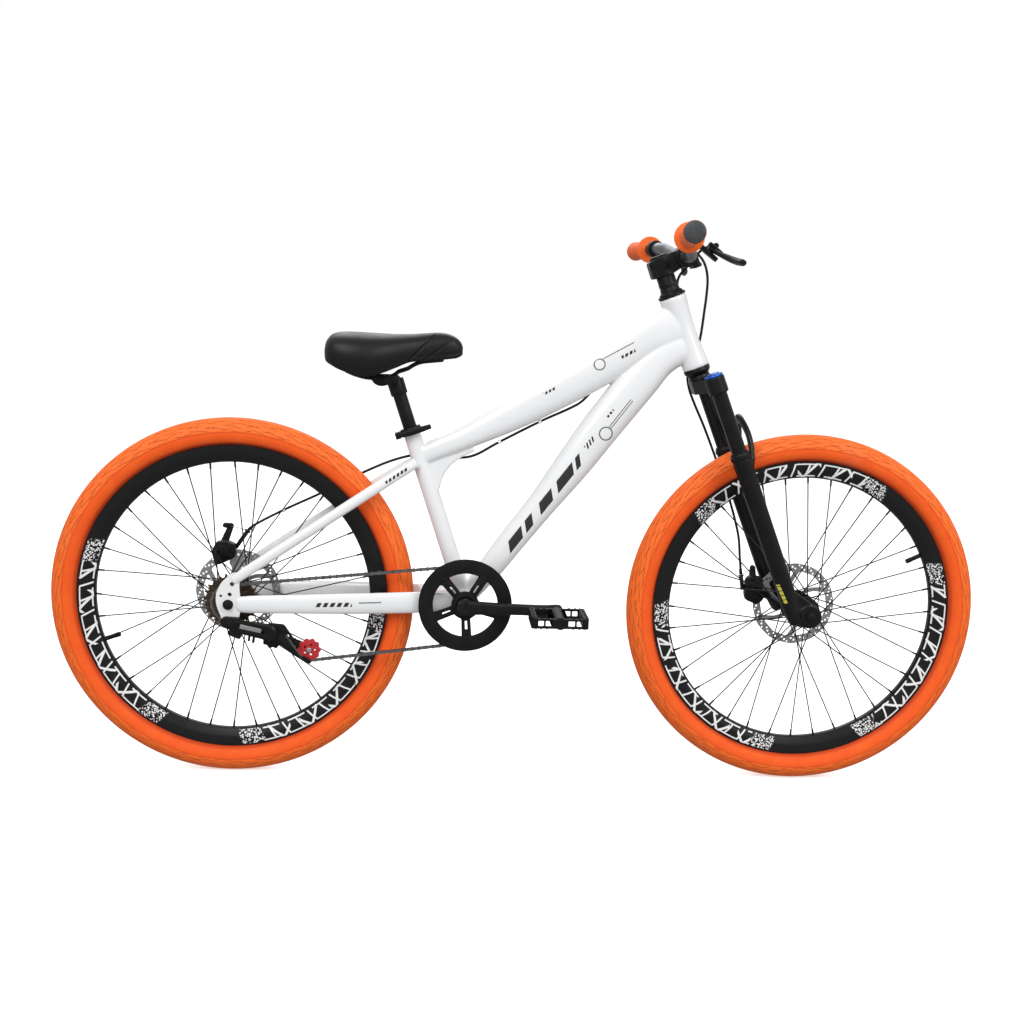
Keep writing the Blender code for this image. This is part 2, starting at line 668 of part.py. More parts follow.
def leg_solid(side):
    """One lower leg, still solid: its bore is cut later."""
    base = on_head(0, LEG_FORWARD, side * LEG_SPREAD)
    profile = [(-LOWER_TOP, LOWER_RADIUS), (-LOWER_TOP - 0.0200, LOWER_RADIUS),
               (-FORK_LENGTH + 0.0100, LOWER_FOOT_RADIUS), (-FORK_LENGTH - 0.0090, 0.0110)]
    return turned(profile, base, HEAD_UP, ROUND)


arch_half = [(-0.2100, 0.0200, 0.0640), (-0.1950, 0.0300, 0.0610), (-0.1700, 0.0400, 0.0520),
             (-0.1450, 0.0450, 0.0400), (-0.1260, 0.0460, 0.0210), (-0.1190, 0.0465, 0.0)]
arch_points = arch_half + [(s, f, -y) for s, f, y in reversed(arch_half[:-1])]
arch = lofted([(on_head(s, f, y), 0.0060, 0.0105) for s, f, y in arch_points], 8, 2.5, HEAD_FORE)
dropout_half = FRONT_HUB_HALF + GAP
joins = [leg_solid(1), arch]
for side in (-1, 1):
    joins.append(turned([(side * dropout_half, 0.0205), (side * (dropout_half + 0.0080), 0.0235),
                         (side * (dropout_half + 0.0250), 0.0225)], FRONT_AXLE, Y, ROUND))
mount = plate([(0.4740, 0.3900), (0.4840, 0.3420), (0.5000, 0.3420), (0.4960, 0.3960)], [], 0.0560, 0.0640)
joins.append(mount)
axle_bore = turned([(-0.1000, AXLE_RADIUS + BORE_GAP), (0.1000, AXLE_RADIUS + BORE_GAP)], FRONT_AXLE, Y, 12)
cuts = [axle_bore]
for side in (-1, 1):
    base = on_head(0, LEG_FORWARD, side * LEG_SPREAD)
    seat = LOWER_RADIUS + SEAL_LIP + GAP
    cuts.append(turned([(-LOWER_BORE_END, LOWER_BORE), (-LOWER_TOP, LOWER_BORE), (-LOWER_TOP, seat),
                        (-CROWN_BOTTOM, seat)], base, HEAD_UP, ROUND))
combined("fork_lowers", leg_solid(-1), BLACK, joins, cuts, HEAD_BASE, 35)
for side, word in ((-1, "right"), (1, "left")):
    base = on_head(0, LEG_FORWARD, side * LEG_SPREAD)
    seal = [(-SEAL_TOP - SEAL_HEIGHT, LOWER_BORE), (-SEAL_TOP - SEAL_HEIGHT, LOWER_RADIUS + SEAL_LIP),
            (-SEAL_TOP - 0.0040, LOWER_RADIUS + SEAL_LIP), (-SEAL_TOP, LOWER_RADIUS - 0.0015),
            (-SEAL_TOP, LOWER_BORE)]
    finish(word + "_dust_seal", turned(seal, base, HEAD_UP, ROUND, True), PLASTIC, HEAD_BASE)


# Stem, handlebar and grips

BAR_CENTRE = on_head(STEM_BAR_HEIGHT, STEM_REACH)
clamp = turned([(CONE_TOP + GAP, 0.0190), (STEM_TOP, 0.0190)], HEAD_BASE, HEAD_UP, ROUND)
bar_clamp = turned([(-0.0225, 0.0205), (0.0225, 0.0205)], BAR_CENTRE, Y, ROUND)
face_plate = plate([(0.0050, -0.0270), (0.0210, -0.0270), (0.0210, 0.0270), (0.0050, 0.0270)], [],
                   -0.0210, 0.0210, BAR_CENTRE, (HEAD_FORE, HEAD_UP, Y))
bridge_block = plate([(0.0, CONE_TOP + 0.0030), (STEM_REACH, STEM_BAR_HEIGHT - 0.0170),
                      (STEM_REACH, STEM_BAR_HEIGHT + 0.0170), (0.0, STEM_TOP - 0.0030)], [],
                     -0.0165, 0.0165, HEAD_BASE, (HEAD_FORE, HEAD_UP, Y))
rear_block = plate([(-0.0270, CONE_TOP + 0.0040), (-0.0050, CONE_TOP + 0.0040),
                    (-0.0050, STEM_TOP - 0.0060), (-0.0260, STEM_TOP - 0.0060)], [],
                   -0.0130, 0.0130, HEAD_BASE, (HEAD_FORE, HEAD_UP, Y))
steerer_bore = turned([(CONE_TOP - 0.0200, STEERER_RADIUS + GAP), (STEM_TOP - 0.0037, STEERER_RADIUS + GAP)],
                      HEAD_BASE, HEAD_UP, ROUND)
bar_bore = turned([(-0.0400, clear(BAR_RADIUS)), (0.0400, clear(BAR_RADIUS))], BAR_CENTRE, Y, ROUND)
combined("stem", clamp, SATIN, [bridge_block, bar_clamp, face_plate, rear_block],
         [steerer_bore, bar_bore], HEAD_BASE, 35)

GRIP_IN = Vector((0.2480, -(BAR_HALF - GRIP_LENGTH), 1.0143))
GRIP_OUT = Vector((0.2352, -BAR_HALF, 1.0160))
grip_axis = (GRIP_OUT - GRIP_IN).normalized()
bar_end = GRIP_OUT - grip_axis * 0.0040
bar_half = [(BAR_CENTRE, BAR_RADIUS), (BAR_CENTRE - Y * 0.0450, BAR_RADIUS),
            (BAR_CENTRE + Vector((-0.0015, -0.0600, 0.0015)), BAR_RADIUS),
            (BAR_CENTRE + Vector((-0.0130, -0.0950, 0.0125)), 0.0120),
            (GRIP_IN - grip_axis * 0.0800, BAR_END_RADIUS), (bar_end, BAR_END_RADIUS)]
bar_points = [(flip(p, 1), r) for p, r in reversed(bar_half[1:])] + bar_half
finish("handlebar", lofted([(p, r, r) for p, r in bar_points], 12, 2.0, X), GREY, HEAD_BASE)
for side, word in ((-1, "right"), (1, "left")):
    start, axis = flip(GRIP_IN, side), flip(grip_axis, side)
    inner = clear(BAR_END_RADIUS)
    end = GRIP_LENGTH
    profile = [(end - 0.0032, 0), (end - 0.0032, inner), (0, inner), (0, GRIP_FLANGE_RADIUS),
               (0.0035, GRIP_FLANGE_RADIUS), (0.0060, GRIP_RADIUS), (end - 0.0060, GRIP_RADIUS),
               (end - 0.0050, 0.0177), (end, 0.0165), (end, 0)]
    finish(word + "_grip", turned(profile, start, axis, ROUND), ORANGE, HEAD_BASE)


# Brake levers

LEVER_PIVOT = Vector((0.2960, -0.1560, 0.9980))
LEVER_AXIS = Vector((0.60, 0, 0.80)).normalized()
LEVER_OUT = Y.cross(LEVER_AXIS).normalized()
BLADE_SIZES = ((0.0036, 0.0055), (0.0036, 0.0062), (0.0052, 0.0050), (0.0058, 0.0048), (0.0050, 0.0045))
perch_bar = GRIP_IN - grip_axis * 0.0360


def lever(side, word):
    """Perch with clamp, pivot pin and adjuster, and the blade that turns on the pin."""
    pivot = flip(LEVER_PIVOT, side)
    axis = LEVER_AXIS
    ahead = LEVER_OUT
    reach = [clear(BAR_END_RADIUS), 0.0165]
    bar_at = flip(perch_bar, side)
    along = flip(grip_axis, side)
    ring = turned([(-0.0090, reach[1]), (0.0090, reach[1])], bar_at, along, 12)
    hole = turned([(-0.0200, reach[0]), (0.0200, reach[0])], bar_at, along, 12)
    offset = pivot - bar_at
    fore = offset.dot(ahead)
    sides = offset.dot(Y)
    lift = offset.dot(axis)
    tip = [(fore + 0.0150, sides - 0.0075), (fore + 0.0190, sides - 0.0040),
           (fore + 0.0190, sides + 0.0040), (fore + 0.0150, sides + 0.0075)]
    arm = plate([(0.0060, -0.0080), (fore - 0.004, sides - 0.0080)] + tip
                + [(fore - 0.004, sides + 0.0080), (0.0060, 0.0080)],
                [], lift - 0.0110, lift - 0.0042, bar_at, (ahead, Y, axis))
    cover = plate([(fore - 0.0100, sides - 0.0080)] + tip + [(fore - 0.0100, sides + 0.0080)],
                  [], lift + 0.0042, lift + 0.0090, bar_at, (ahead, Y, axis))
    pin = rod(pivot - axis * 0.0055, pivot + axis * (BARREL_LIFT - 0.0030), 0.0026, 8)
    inboard = Y * -side
    barrel_at = pivot + ahead * 0.0020 + axis * BARREL_LIFT
    barrel = rod(barrel_at, barrel_at + inboard * BARREL_LENGTH, 0.0046, 8)
    combined(word + "_lever_perch", ring, PLASTIC, [arm, cover, pin, barrel], [hole], HEAD_BASE, 35)
    blade_axis = [Vector((0.0, -0.002, 0)), Vector((0.011, -0.018, 0)), Vector((0.023, -0.042, 0)),
                  Vector((0.0360, -0.075, 0)), Vector((0.0410, -0.108, 0))]
    stations = []
    for index, p in enumerate(blade_axis):
        centre = pivot + ahead * p.x + Y * (p.y * -side) - axis * 0.0002
        high, thick = BLADE_SIZES[index]
        stations.append((centre, high, thick))
    eye = turned([(-0.0038, 0.0068), (0.0036, 0.0068)], pivot, axis, 12)
    eye_hole = turned([(-0.0100, 0.0031), (0.0100, 0.0031)], pivot, axis, 8)
    combined(word + "_brake_lever", eye, BLACK, [lofted(stations, 8, 2.6, axis)], [eye_hole], pivot, 35)


lever(-1, "right")
lever(1, "left")


# Crankset


def crank(side, word):
    """Crank arm, its boss and its pedal: the right pedal lies level, the left one hangs upright."""
    ahead = X * (1 if side < 0 else -1)
    y = Y * side
    stations = []
    for x, high, out, thick in ((-0.0160, 0.0070, 0.0, 0.0055), (-0.0110, 0.0135, 0.0, 0.0068),
                                (0.0250, 0.0128, 0.0015, 0.0070), (0.1000, 0.0112, 0.0065, 0.0065),
                                (CRANK_LENGTH + 0.0080, 0.0115, 0.0105, 0.0062),
                                (CRANK_LENGTH + 0.0135, 0.0060, 0.0105, 0.0050)):
        stations.append((BB + ahead * x + y * (CRANK_Y + out), thick, high))
    inner = 0.0455 if side < 0 else 0.0400
    boss_bar = rod(BB + y * inner, BB + y * (CRANK_Y + 0.0060), 0.0162, ROUND)
    end = BB + ahead * CRANK_LENGTH
    axle = rod(end + y * (CRANK_Y + 0.0080), end + y * (PEDAL_INNER_Y + 0.0720), PEDAL_AXLE_RADIUS, 12)
    bore = rod(BB + y * 0.0300, BB + y * (BB_AXLE_HALF + GAP), BB_AXLE_RADIUS + GAP, 12)
    combined(word + "_crank", lofted(stations, 8, 2.6), SATIN, [boss_bar, axle], [bore], BB, 35)
    outline = []
    half_l, half_w = PEDAL_LENGTH / 2, PEDAL_WIDTH / 2
    for way in (1, -1):
        for i in range(PEDAL_TEETH * 2 + 1):
            t = way * (i / PEDAL_TEETH - 1) * (half_w - 0.006)
            outline.append((way * (half_l - (0.0 if i % 2 else 0.0035)), t))
        outline.append((way * (half_l - 0.010), way * half_w))
        outline.append((way * -(half_l - 0.010), way * half_w))
    windows = []
    for way in (1, -1):
        for low, high in ((-0.0350, -0.0030), (0.0030, 0.0350)):
            windows.append([(way * 0.0150, low), (way * 0.0400, low),
                            (way * 0.0400, high), (way * 0.0150, high)])
    centre = end + y * (PEDAL_INNER_Y + half_w)
    level = (X, Y, Z) if side < 0 else (-Z, Y, X)
    body = plate(outline, windows, -PEDAL_THICK / 2, PEDAL_THICK / 2, centre, level)
    hole = rod(end + y * (PEDAL_INNER_Y - 0.010), end + y * (PEDAL_INNER_Y + 0.0735),
               PEDAL_AXLE_RADIUS + 0.0009, 12)
    combined(word + "_pedal", body, PLASTIC, (), [hole], end, 35)


crank(-1, "right")
crank(1, "left")
finish("bottom_bracket_axle", rod(BB - Y * BB_AXLE_HALF, BB + Y * BB_AXLE_HALF, BB_AXLE_RADIUS, 12),
       STEEL, BB)


def chain_step(teeth):
    """Turn between two points of the chain on a sprocket."""
    return radians(15 if teeth > 20 else 24)


def pitch_radius(teeth):
    """Radius at which a chain lies on a sprocket."""
    return CHAIN_PITCH / 2 / sin(pi / teeth)


BOSS_HOLE = 0.0162 + GAP


def tip_radius(teeth):
    """Tips stay below the web of the chain, whose straight links cut inside the pitch circle."""
    return pitch_radius(teeth) * cos(chain_step(teeth) / 2) - CHAIN_WEB / 2 - GAP


ring_tip = tip_radius(RING_TEETH)
ring_windows = [circle(BOSS_HOLE, ROUND)]
guard_windows = [circle(BOSS_HOLE, ROUND)]


def sector(inner, outer, middle, half_inner, half_outer, steps=3):
    """A window between two radii, centred on an angle."""
    points = []
    for i in range(steps):
        angle = middle - half_inner + 2 * half_inner * i / (steps - 1)
        points.append((inner * cos(angle), inner * sin(angle)))
    for i in range(steps):
        angle = middle + half_outer - 2 * half_outer * i / (steps - 1)
        points.append((outer * cos(angle), outer * sin(angle)))
    return points


for i in range(5):
    middle = radians(58 + 72 * i)
    ring_windows.append(sector(0.0300, 0.0600, middle + radians(36), 0.36, 0.46))
    guard_windows.append(sector(0.0270, 0.0615, middle + radians(36), 0.32, 0.46))
    guard_windows.append(sector(0.0300, 0.0460, middle, 0.07, 0.05, 2))
ring = plate(toothed(RING_TEETH, ring_tip, TOOTH_DEPTH), ring_windows, RING_Y - 0.0015, RING_Y + 0.0015, BB)
finish("chainring", ring, SATIN, BB)
guard_y = -0.0560
guard = plate(circle(GUARD_RADIUS, 36), guard_windows,
              guard_y - GUARD_THICK / 2, guard_y + GUARD_THICK / 2, BB)
finish("chain_guard", guard, PLASTIC, BB)


# Freewheel


def cog_y(index):
    """Middle plane of a cog, counted from the smallest, outer one."""
    return COG_OUTER_Y + COG_SPACING * index


def freewheel():
    """All cogs on one core with a bore for the hub's boss, as one closed skin."""
    bm = bmesh.new()

    def ring(y, points):
        return [bm.verts.new(REAR_AXLE + Y * y + X * u + Z * v) for u, v in points]

    def face_between(outer, inner):
        edges = []
        for loop in (outer, inner):
            for i, vertex in enumerate(loop):
                pair = (vertex, loop[(i + 1) % len(loop)])
                edges.append(bm.edges.get(pair) or bm.edges.new(pair))
        bmesh.ops.triangle_fill(bm, edges=edges, use_beauty=True, use_dissolve=False)

    core = circle(FREEWHEEL_CORE, ROUND)
    bore = circle(FREEWHEEL_BOSS + TURN_GAP, ROUND)
    first = cog_y(0) - COG_THICK
    final = cog_y(len(COG_TEETH) - 1) + COG_THICK
    start = ring(first, bore)
    last = ring(first, core)
    bridge(bm, start, last)
    for index, teeth in enumerate(COG_TEETH):
        outline = toothed(teeth, tip_radius(teeth), TOOTH_DEPTH)
        low, high = cog_y(index) - COG_THICK / 2, cog_y(index) + COG_THICK / 2
        for y in (low, high):
            rim, hole = ring(y, outline), ring(y, core)
            if y == low:
                bridge(bm, last, hole)
                face_between(rim, hole)
                other = rim
            else:
                bridge(bm, other, rim)
                face_between(rim, hole)
            last = hole
    end = ring(final, core)
    bridge(bm, last, end)
    close = ring(final, bore)
    bridge(bm, end, close)
    bridge(bm, close, start)
    return bm


finish("freewheel", freewheel(), BRONZE, REAR_AXLE, 30)


# Chain path round cog, chainring and the two pulleys

COG_Y = cog_y(DRIVE_COG)
GUIDE = Vector((-0.4590, COG_Y, 0.2730))
TENSION = Vector((-0.3925, COG_Y, 0.2505))
stops = [
    (REAR_AXLE, pitch_radius(COG_TEETH[DRIVE_COG]), -1, COG_Y, COG_TEETH[DRIVE_COG]),
    (BB, pitch_radius(RING_TEETH), -1, RING_Y, RING_TEETH),
    (TENSION, pitch_radius(PULLEY_TEETH), -1, COG_Y, PULLEY_TEETH),
    (GUIDE, pitch_radius(PULLEY_TEETH), 1, COG_Y, PULLEY_TEETH),
]


def normal_between(first, second):
    """Left normal of the straight run from one wheel of the path to the next."""
    across = second[0] - first[0]
    dx, dz = across.x, across.z
    length = hypot(dx, dz)
    a = (second[1] * second[2] - first[1] * first[2]) / length
    b = sqrt(1 - a * a)
    ux, uz = dx / length, dz / length
    return (a * ux - b * uz, a * uz + b * ux)


def chain_path():
    """Points and outward normals all the way round the chain."""
    path = []
    count = len(stops)
    for i, stop in enumerate(stops):
        centre, radius, way, y, teeth = stop
        arrive = normal_between(stops[i - 1], stop)
        leave = normal_between(stop, stops[(i + 1) % count])
        start = atan2(-way * arrive[1], -way * arrive[0])
        end = atan2(-way * leave[1], -way * leave[0])
        sweep = (end - start) * way % (2 * pi) * way
        steps = max(3, ceil(abs(sweep) / chain_step(teeth)))
        for k in range(steps + 1):
            angle = start + sweep * k / steps
            out = Vector((cos(angle), 0, sin(angle)))
            path.append((Vector((centre.x, y, centre.z)) + out * radius, out * -way))
    return path


def chain_solid():
    """The chain as a band of two side plates and a thin web on the pitch line."""
    w, h = CHAIN_HALF_WIDTH, CHAIN_HALF_HEIGHT
    inner, web = w - CHAIN_PLATE, CHAIN_WEB / 2
    section = [(-w, -h), (-inner, -h), (-inner, -web), (inner, -web), (inner, -h), (w, -h),
               (w, h), (inner, h), (inner, web), (-inner, web), (-inner, h), (-w, h)]
    loops = []
    for point, out in chain_path():
        loops.append([point + Y * across + out * up for across, up in section])
    return skin(loops, True)


finish("chain", chain_solid(), STEEL, None, 25)


# Rear derailleur

HANGER = Vector((-0.5330, 0, 0.3020))
KNUCKLE = Vector((-0.4610, 0, 0.2850))
drop_out = -DROP_Y - DROPOUT_THICK - GAP
cage_out = COG_Y - 0.0052
cage_in = COG_Y + 0.0052
cage_thick = 0.0016
arm_outline = hull_of([(HANGER.x, HANGER.z + 0.0015, 0.0115), (HANGER.x + 0.012, HANGER.z, 0.0140),
                       (KNUCKLE.x, KNUCKLE.z + 0.0060, 0.0130),
                       (KNUCKLE.x - 0.004, KNUCKLE.z - 0.006, 0.0140)])
mech = plate(arm_outline, [], drop_out - 0.0160, drop_out - 0.0020)
hanger_bolt = rod(Vector((HANGER.x, drop_out - 0.0040, HANGER.z)),
                  Vector((HANGER.x, drop_out, HANGER.z)), 0.0090, 10)
knuckle = rod(Vector((KNUCKLE.x, drop_out - 0.0100, KNUCKLE.z)),
              Vector((KNUCKLE.x, cage_out - cage_thick - GAP, KNUCKLE.z)), 0.0120, 12)
screws = rod(Vector((-0.4900, drop_out - 0.0120, 0.2820)),
             Vector((-0.4900, drop_out - 0.0040, 0.2620)), 0.0028, 8)
combined("derailleur_body", mech, PLASTIC, [hanger_bolt, knuckle, screws], (), None, 35)
outer_plate = plate(hull_of([(KNUCKLE.x, KNUCKLE.z + 0.004, 0.0150),
                             (KNUCKLE.x + 0.018, KNUCKLE.z + 0.004, 0.0100),
                             (TENSION.x - 0.012, TENSION.z + 0.004, 0.0090),
                             (TENSION.x, TENSION.z - 0.0100, 0.0060)]), [],
                    cage_out - cage_thick, cage_out)
inner_plate = plate(hull_of([(GUIDE.x, GUIDE.z, 0.0090), (TENSION.x, TENSION.z, 0.0090)]), [],
                    cage_in, cage_in + cage_thick)
pins = []
for at in (GUIDE, TENSION):
    pins.append(rod(Vector((at.x, cage_out - cage_thick / 2, at.z)),
                    Vector((at.x, cage_in + cage_thick / 2, at.z)), 0.0026, 10))
combined("derailleur_cage", outer_plate, SATIN, [pins[0], pins[1], inner_plate], (), None, 35)
for at, name in ((GUIDE, "guide_pulley"), (TENSION, "tension_pulley")):
    centre = Vector((at.x, COG_Y, at.z))
    body = plate(toothed(PULLEY_TEETH, tip_radius(PULLEY_TEETH), TOOTH_DEPTH), [circle(0.0032, 10)],
                 -0.0011, 0.0011, centre)
    finish(name, body, RED, centre)


# Disc calipers and their arms


def caliper(name, body_outline, low, high, rotor_y, axle, pivot, arm_discs, stop, mat=SATIN):
    """A caliper body with its rotor slot and cable stop, and the arm that turns on it."""
    body = plate(body_outline, [], low, high)
    slot_centre = Vector((axle.x, 0, axle.z))
    slot = turned([(rotor_y - 0.0022, ROTOR_RADIUS + 0.0030), (rotor_y + 0.0022, ROTOR_RADIUS + 0.0030)],
                  slot_centre, Y, 36)
    boss_pin = rod(Vector((pivot.x, high - 0.0040, pivot.z)),
                   Vector((pivot.x, high + 0.0075, pivot.z)), 0.0034, 10)
    stop_bar = rod(stop[0], stop[1], 0.0048, 8)
    combined(name + "_caliper", body, mat, [boss_pin, stop_bar], [slot], None, 35)
    arm = plate(hull_of(arm_discs, 6), [circle(0.0040, 12, (pivot.x, pivot.z))], high + 0.0012, high + 0.0060)
    finish(name + "_caliper_arm", arm, STEEL, Vector((pivot.x, 0, pivot.z)))


FRONT_ARM = Vector((0.4600, 0, 0.3660))
caliper("front",
        [(0.4420, 0.3830), (0.4400, 0.3540), (0.4430, 0.3420), (0.4640, 0.3340), (0.4740, 0.3400),
         (0.4790, 0.3480), (0.4735, 0.3860), (0.4620, 0.3900), (0.4500, 0.3900)],
        0.0310, 0.0557, FRONT_ROTOR_Y, FRONT_AXLE, FRONT_ARM,
        [(0.4600, 0.3660, 0.0085), (0.4580, 0.4020, 0.0055)],
        (Vector((0.4380, 0.0480, 0.3600)), Vector((0.4350, 0.0560, 0.3880))))
REAR_ARM = Vector((-0.5740, 0, 0.4120))
caliper("rear",
        [(-0.5880, 0.4150), (-0.5840, 0.3930), (-0.5760, 0.3860), (-0.5480, 0.3990), (-0.5430, 0.4080),
         (-0.5450, 0.4260), (-0.5620, 0.4330), (-0.5800, 0.4300)],
        0.0390, 0.0674, REAR_ROTOR_Y, REAR_AXLE, REAR_ARM,
        [(-0.5740, 0.4120, 0.0085), (-0.5560, 0.4580, 0.0055)],
        (Vector((-0.5450, 0.0600, 0.4180)), Vector((-0.5220, 0.0600, 0.4520))))


# Seatpost, saddle clamp, collar and quick release

POST_TOP = SEAT_TUBE_LENGTH + POST_SHOWN
finish("seatpost", turned([(SEAT_TUBE_LENGTH - POST_HIDDEN, POST_RADIUS), (POST_TOP, POST_RADIUS)],
                          BB, SEAT_UP, ROUND), BLACK, BB)
collar_low = SEAT_TUBE_LENGTH - COLLAR_HEIGHT
collar_mid = collar_low + COLLAR_HEIGHT / 2
collar_inner = SEAT_TUBE_RADIUS + GAP
collar_outer = collar_inner + COLLAR_WALL
collar = turned([(collar_low, collar_outer), (SEAT_TUBE_LENGTH + 0.0010, collar_outer)], BB, SEAT_UP, ROUND)
ears = plate([(-0.0300, -0.0110), (-0.0120, -0.0140), (-0.0120, 0.0140), (-0.0300, 0.0110)], [],
             collar_low + 0.0015, SEAT_TUBE_LENGTH - 0.0010, BB, (SEAT_FORE, Y, SEAT_UP))
collar_cut = turned([(collar_low - 0.0100, collar_inner), (SEAT_TUBE_LENGTH + 0.0100, collar_inner)],
                    BB, SEAT_UP, ROUND)
bolt = rod(on_seat(collar_mid, -0.0240, 0.0170), on_seat(collar_mid, -0.0240, 0.0080), 0.0050, 10)
combined("seat_clamp_collar", collar, SATIN, [ears, bolt], [collar_cut], BB, 35)
QR_PIVOT = on_seat(collar_mid, -0.0250, -0.0172)
lever_path = [(-0.0250, -0.0172), (-0.0140, -0.0262), (0.0020, -0.0290), (0.0180, -0.0280), (0.0380, -0.0250)]
lever_stations = [(on_seat(collar_mid, f, y), 0.0022, high)
                  for (f, y), high in zip(lever_path, (0.0040, 0.0048, 0.0050, 0.0052, 0.0045))]
pivot_barrel = rod(QR_PIVOT - SEAT_UP * 0.0060, QR_PIVOT + SEAT_UP * 0.0060, 0.0050, 10)
lever_arm = lofted(lever_stations, 8, 3.0, SEAT_FORE.cross(SEAT_UP) + SEAT_FORE * 0.3)
combined("quick_release_lever", pivot_barrel, SATIN, [lever_arm], (), QR_PIVOT, 35)


# Saddle

SADDLE = [
    (-0.3735, 0.0400, 0.8080, 0.7930), (-0.3705, 0.0560, 0.8200, 0.7830), (-0.3610, 0.0680, 0.8305, 0.7765),
    (-0.3450, 0.0750, 0.8350, 0.7685), (-0.3200, 0.0780, 0.8358, 0.7605), (-0.2950, 0.0760, 0.8352, 0.7572),
    (-0.2700, 0.0680, 0.8345, 0.7635), (-0.2450, 0.0550, 0.8342, 0.7735), (-0.2200, 0.0430, 0.8350, 0.7840),
    (-0.1950, 0.0340, 0.8370, 0.7866), (-0.1700, 0.0280, 0.8390, 0.7890), (-0.1500, 0.0240, 0.8370, 0.7915),
    (-0.1360, 0.0195, 0.8310, 0.7935), (-0.1275, 0.0140, 0.8230, 0.7970), (-0.1235, 0.0080, 0.8150, 0.8010),
]
UNDER = 0.0080


def cushion_section(x, wide, top, bottom):
    """Crowned top, full sides and a tucked-in underside, at one place along the saddle."""
    high = top - bottom
    right = [(0.0, 1.0), (0.36, 0.985), (0.68, 0.90), (0.90, 0.73), (1.0, 0.46), (0.98, 0.20), (0.86, 0.0)]
    points = [Vector((x, wide * u, bottom + high * v)) for u, v in right]
    rise = min(UNDER, high * 0.35)
    points.append(Vector((x, wide * 0.78, bottom + rise)))
    left = [Vector((p.x, -p.y, p.z)) for p in reversed(points[1:])]
    return points + left


cushion = skin([cushion_section(*station) for station in SADDLE])
finish("saddle_cushion", cushion, VINYL, None, 50)
base_loops = []
for x, wide, top, bottom in SADDLE[1:-2]:
    rise = min(UNDER, (top - bottom) * 0.35)
    edge = wide * 0.74
    upper_z, lower_z = bottom + rise - GAP, bottom + rise - GAP - 0.0030
    base_loops.append([Vector((x, -edge, upper_z)), Vector((x, edge, upper_z)),
                       Vector((x, edge * 0.97, lower_z)), Vector((x, -edge * 0.97, lower_z))])
finish("saddle_base", skin(base_loops), PLASTIC, None, 30)

RAIL = [(-0.3350, 0.0260, 0.7648), (-0.3180, 0.0235, 0.7580), (-0.2950, RAIL_SPREAD, 0.7530),
        (-0.2650, RAIL_SPREAD, 0.7530), (-0.2500, RAIL_SPREAD, 0.7580), (-0.2400, RAIL_SPREAD, 0.7655),
        (-0.2240, 0.0212, 0.7715), (-0.2120, 0.0200, 0.7790), (-0.1980, 0.0175, 0.7845),
        (-0.1750, 0.0130, 0.7875), (-0.1640, 0.0070, 0.7885), (-0.1610, 0.0, 0.7888)]


def rail(radius):
    """The bent rail wire, from one rear socket round the nose to the other."""
    points = [Vector((x, y, z)) for x, y, z in RAIL]
    points += [Vector((x, -y, z)) for x, y, z in reversed(RAIL[:-1])]
    return lofted([(p, radius, radius) for p in points], 6, 2.0, Z)


finish("saddle_rails", rail(RAIL_RADIUS), SATIN)
clamp_outline = [(-0.2870, 0.7590), (-0.2890, 0.7490), (-0.2800, 0.7405), (-0.2690, 0.7385),
                 (-0.2560, 0.7425), (-0.2400, 0.7460), (-0.2360, 0.7510), (-0.2420, 0.7590)]
socket = turned([(POST_TOP - 0.0260, POST_RADIUS + 0.0030), (POST_TOP + 0.0030, POST_RADIUS + 0.0030)],
                BB, SEAT_UP, ROUND)
socket_bore = turned([(POST_TOP - 0.0400, POST_RADIUS + GAP), (POST_TOP + GAP, POST_RADIUS + GAP)],
                     BB, SEAT_UP, ROUND)
combined("saddle_clamp", plate(clamp_outline, [], -0.0290, 0.0290), SATIN, [socket],
         [socket_bore, rail(RAIL_RADIUS + GAP)], None, 35)


# Brake cables


def cable(name, points):
    """An unbroken round cable through its points, on a smooth curve."""
    fine = []
    count = len(points)
    for i in range(count - 1):
        p0 = points[max(i - 1, 0)]
        p1, p2 = points[i], points[i + 1]
        p3 = points[min(i + 2, count - 1)]
        pieces = max(1, ceil((p2 - p1).length / CABLE_SPAN))
        for k in range(pieces):
            t = k / pieces
            fine.append(0.5 * ((2 * p1) + (p2 - p0) * t + (2 * p0 - 5 * p1 + 4 * p2 - p3) * t * t
                               + (3 * p1 - p0 - 3 * p2 + p3) * t ** 3))
    fine.append(points[-1])
    curve = bpy.data.curves.new(name, "CURVE")
    curve.dimensions = "3D"
    curve.bevel_depth = CABLE_RADIUS
    curve.bevel_resolution = 2
    curve.use_fill_caps = True
    line = curve.splines.new("POLY")
    line.points.add(len(fine) - 1)
    for spot, point in zip(line.points, fine):
        spot.co = (*point, 1.0)
    curve.materials.append(PLASTIC)
    made = bpy.data.objects.new(name, curve)
    bpy.context.scene.collection.objects.link(made)


adjuster_right = LEVER_PIVOT + LEVER_OUT * 0.0020 + LEVER_AXIS * BARREL_LIFT + Y * (BARREL_LENGTH + GAP)
adjuster_left = flip(adjuster_right, 1)
loop_end = Vector((0.1720, 0.0340, 0.8020))
loop_way = Vector((-0.0480, -0.0020, -0.0330)).normalized()
cable("rear_brake_cable_loop", [
    adjuster_right, adjuster_right + Y * 0.0140, Vector((0.3130, -0.0700, 1.0100)),
    Vector((0.3170, -0.0200, 1.0110)), Vector((0.3110, 0.0180, 1.0040)), Vector((0.2960, 0.0370, 0.9810)),
    Vector((0.2760, 0.0380, 0.9500)), Vector((0.2850, 0.0370, 0.9000)), Vector((0.2940, 0.0360, 0.8700)),
    Vector((0.2820, 0.0350, 0.8460)), Vector((0.2500, 0.0340, 0.8320)), Vector((0.2100, 0.0335, 0.8230)),
    loop_end - loop_way * GAP - loop_way * 0.0120, loop_end - loop_way * GAP,
])
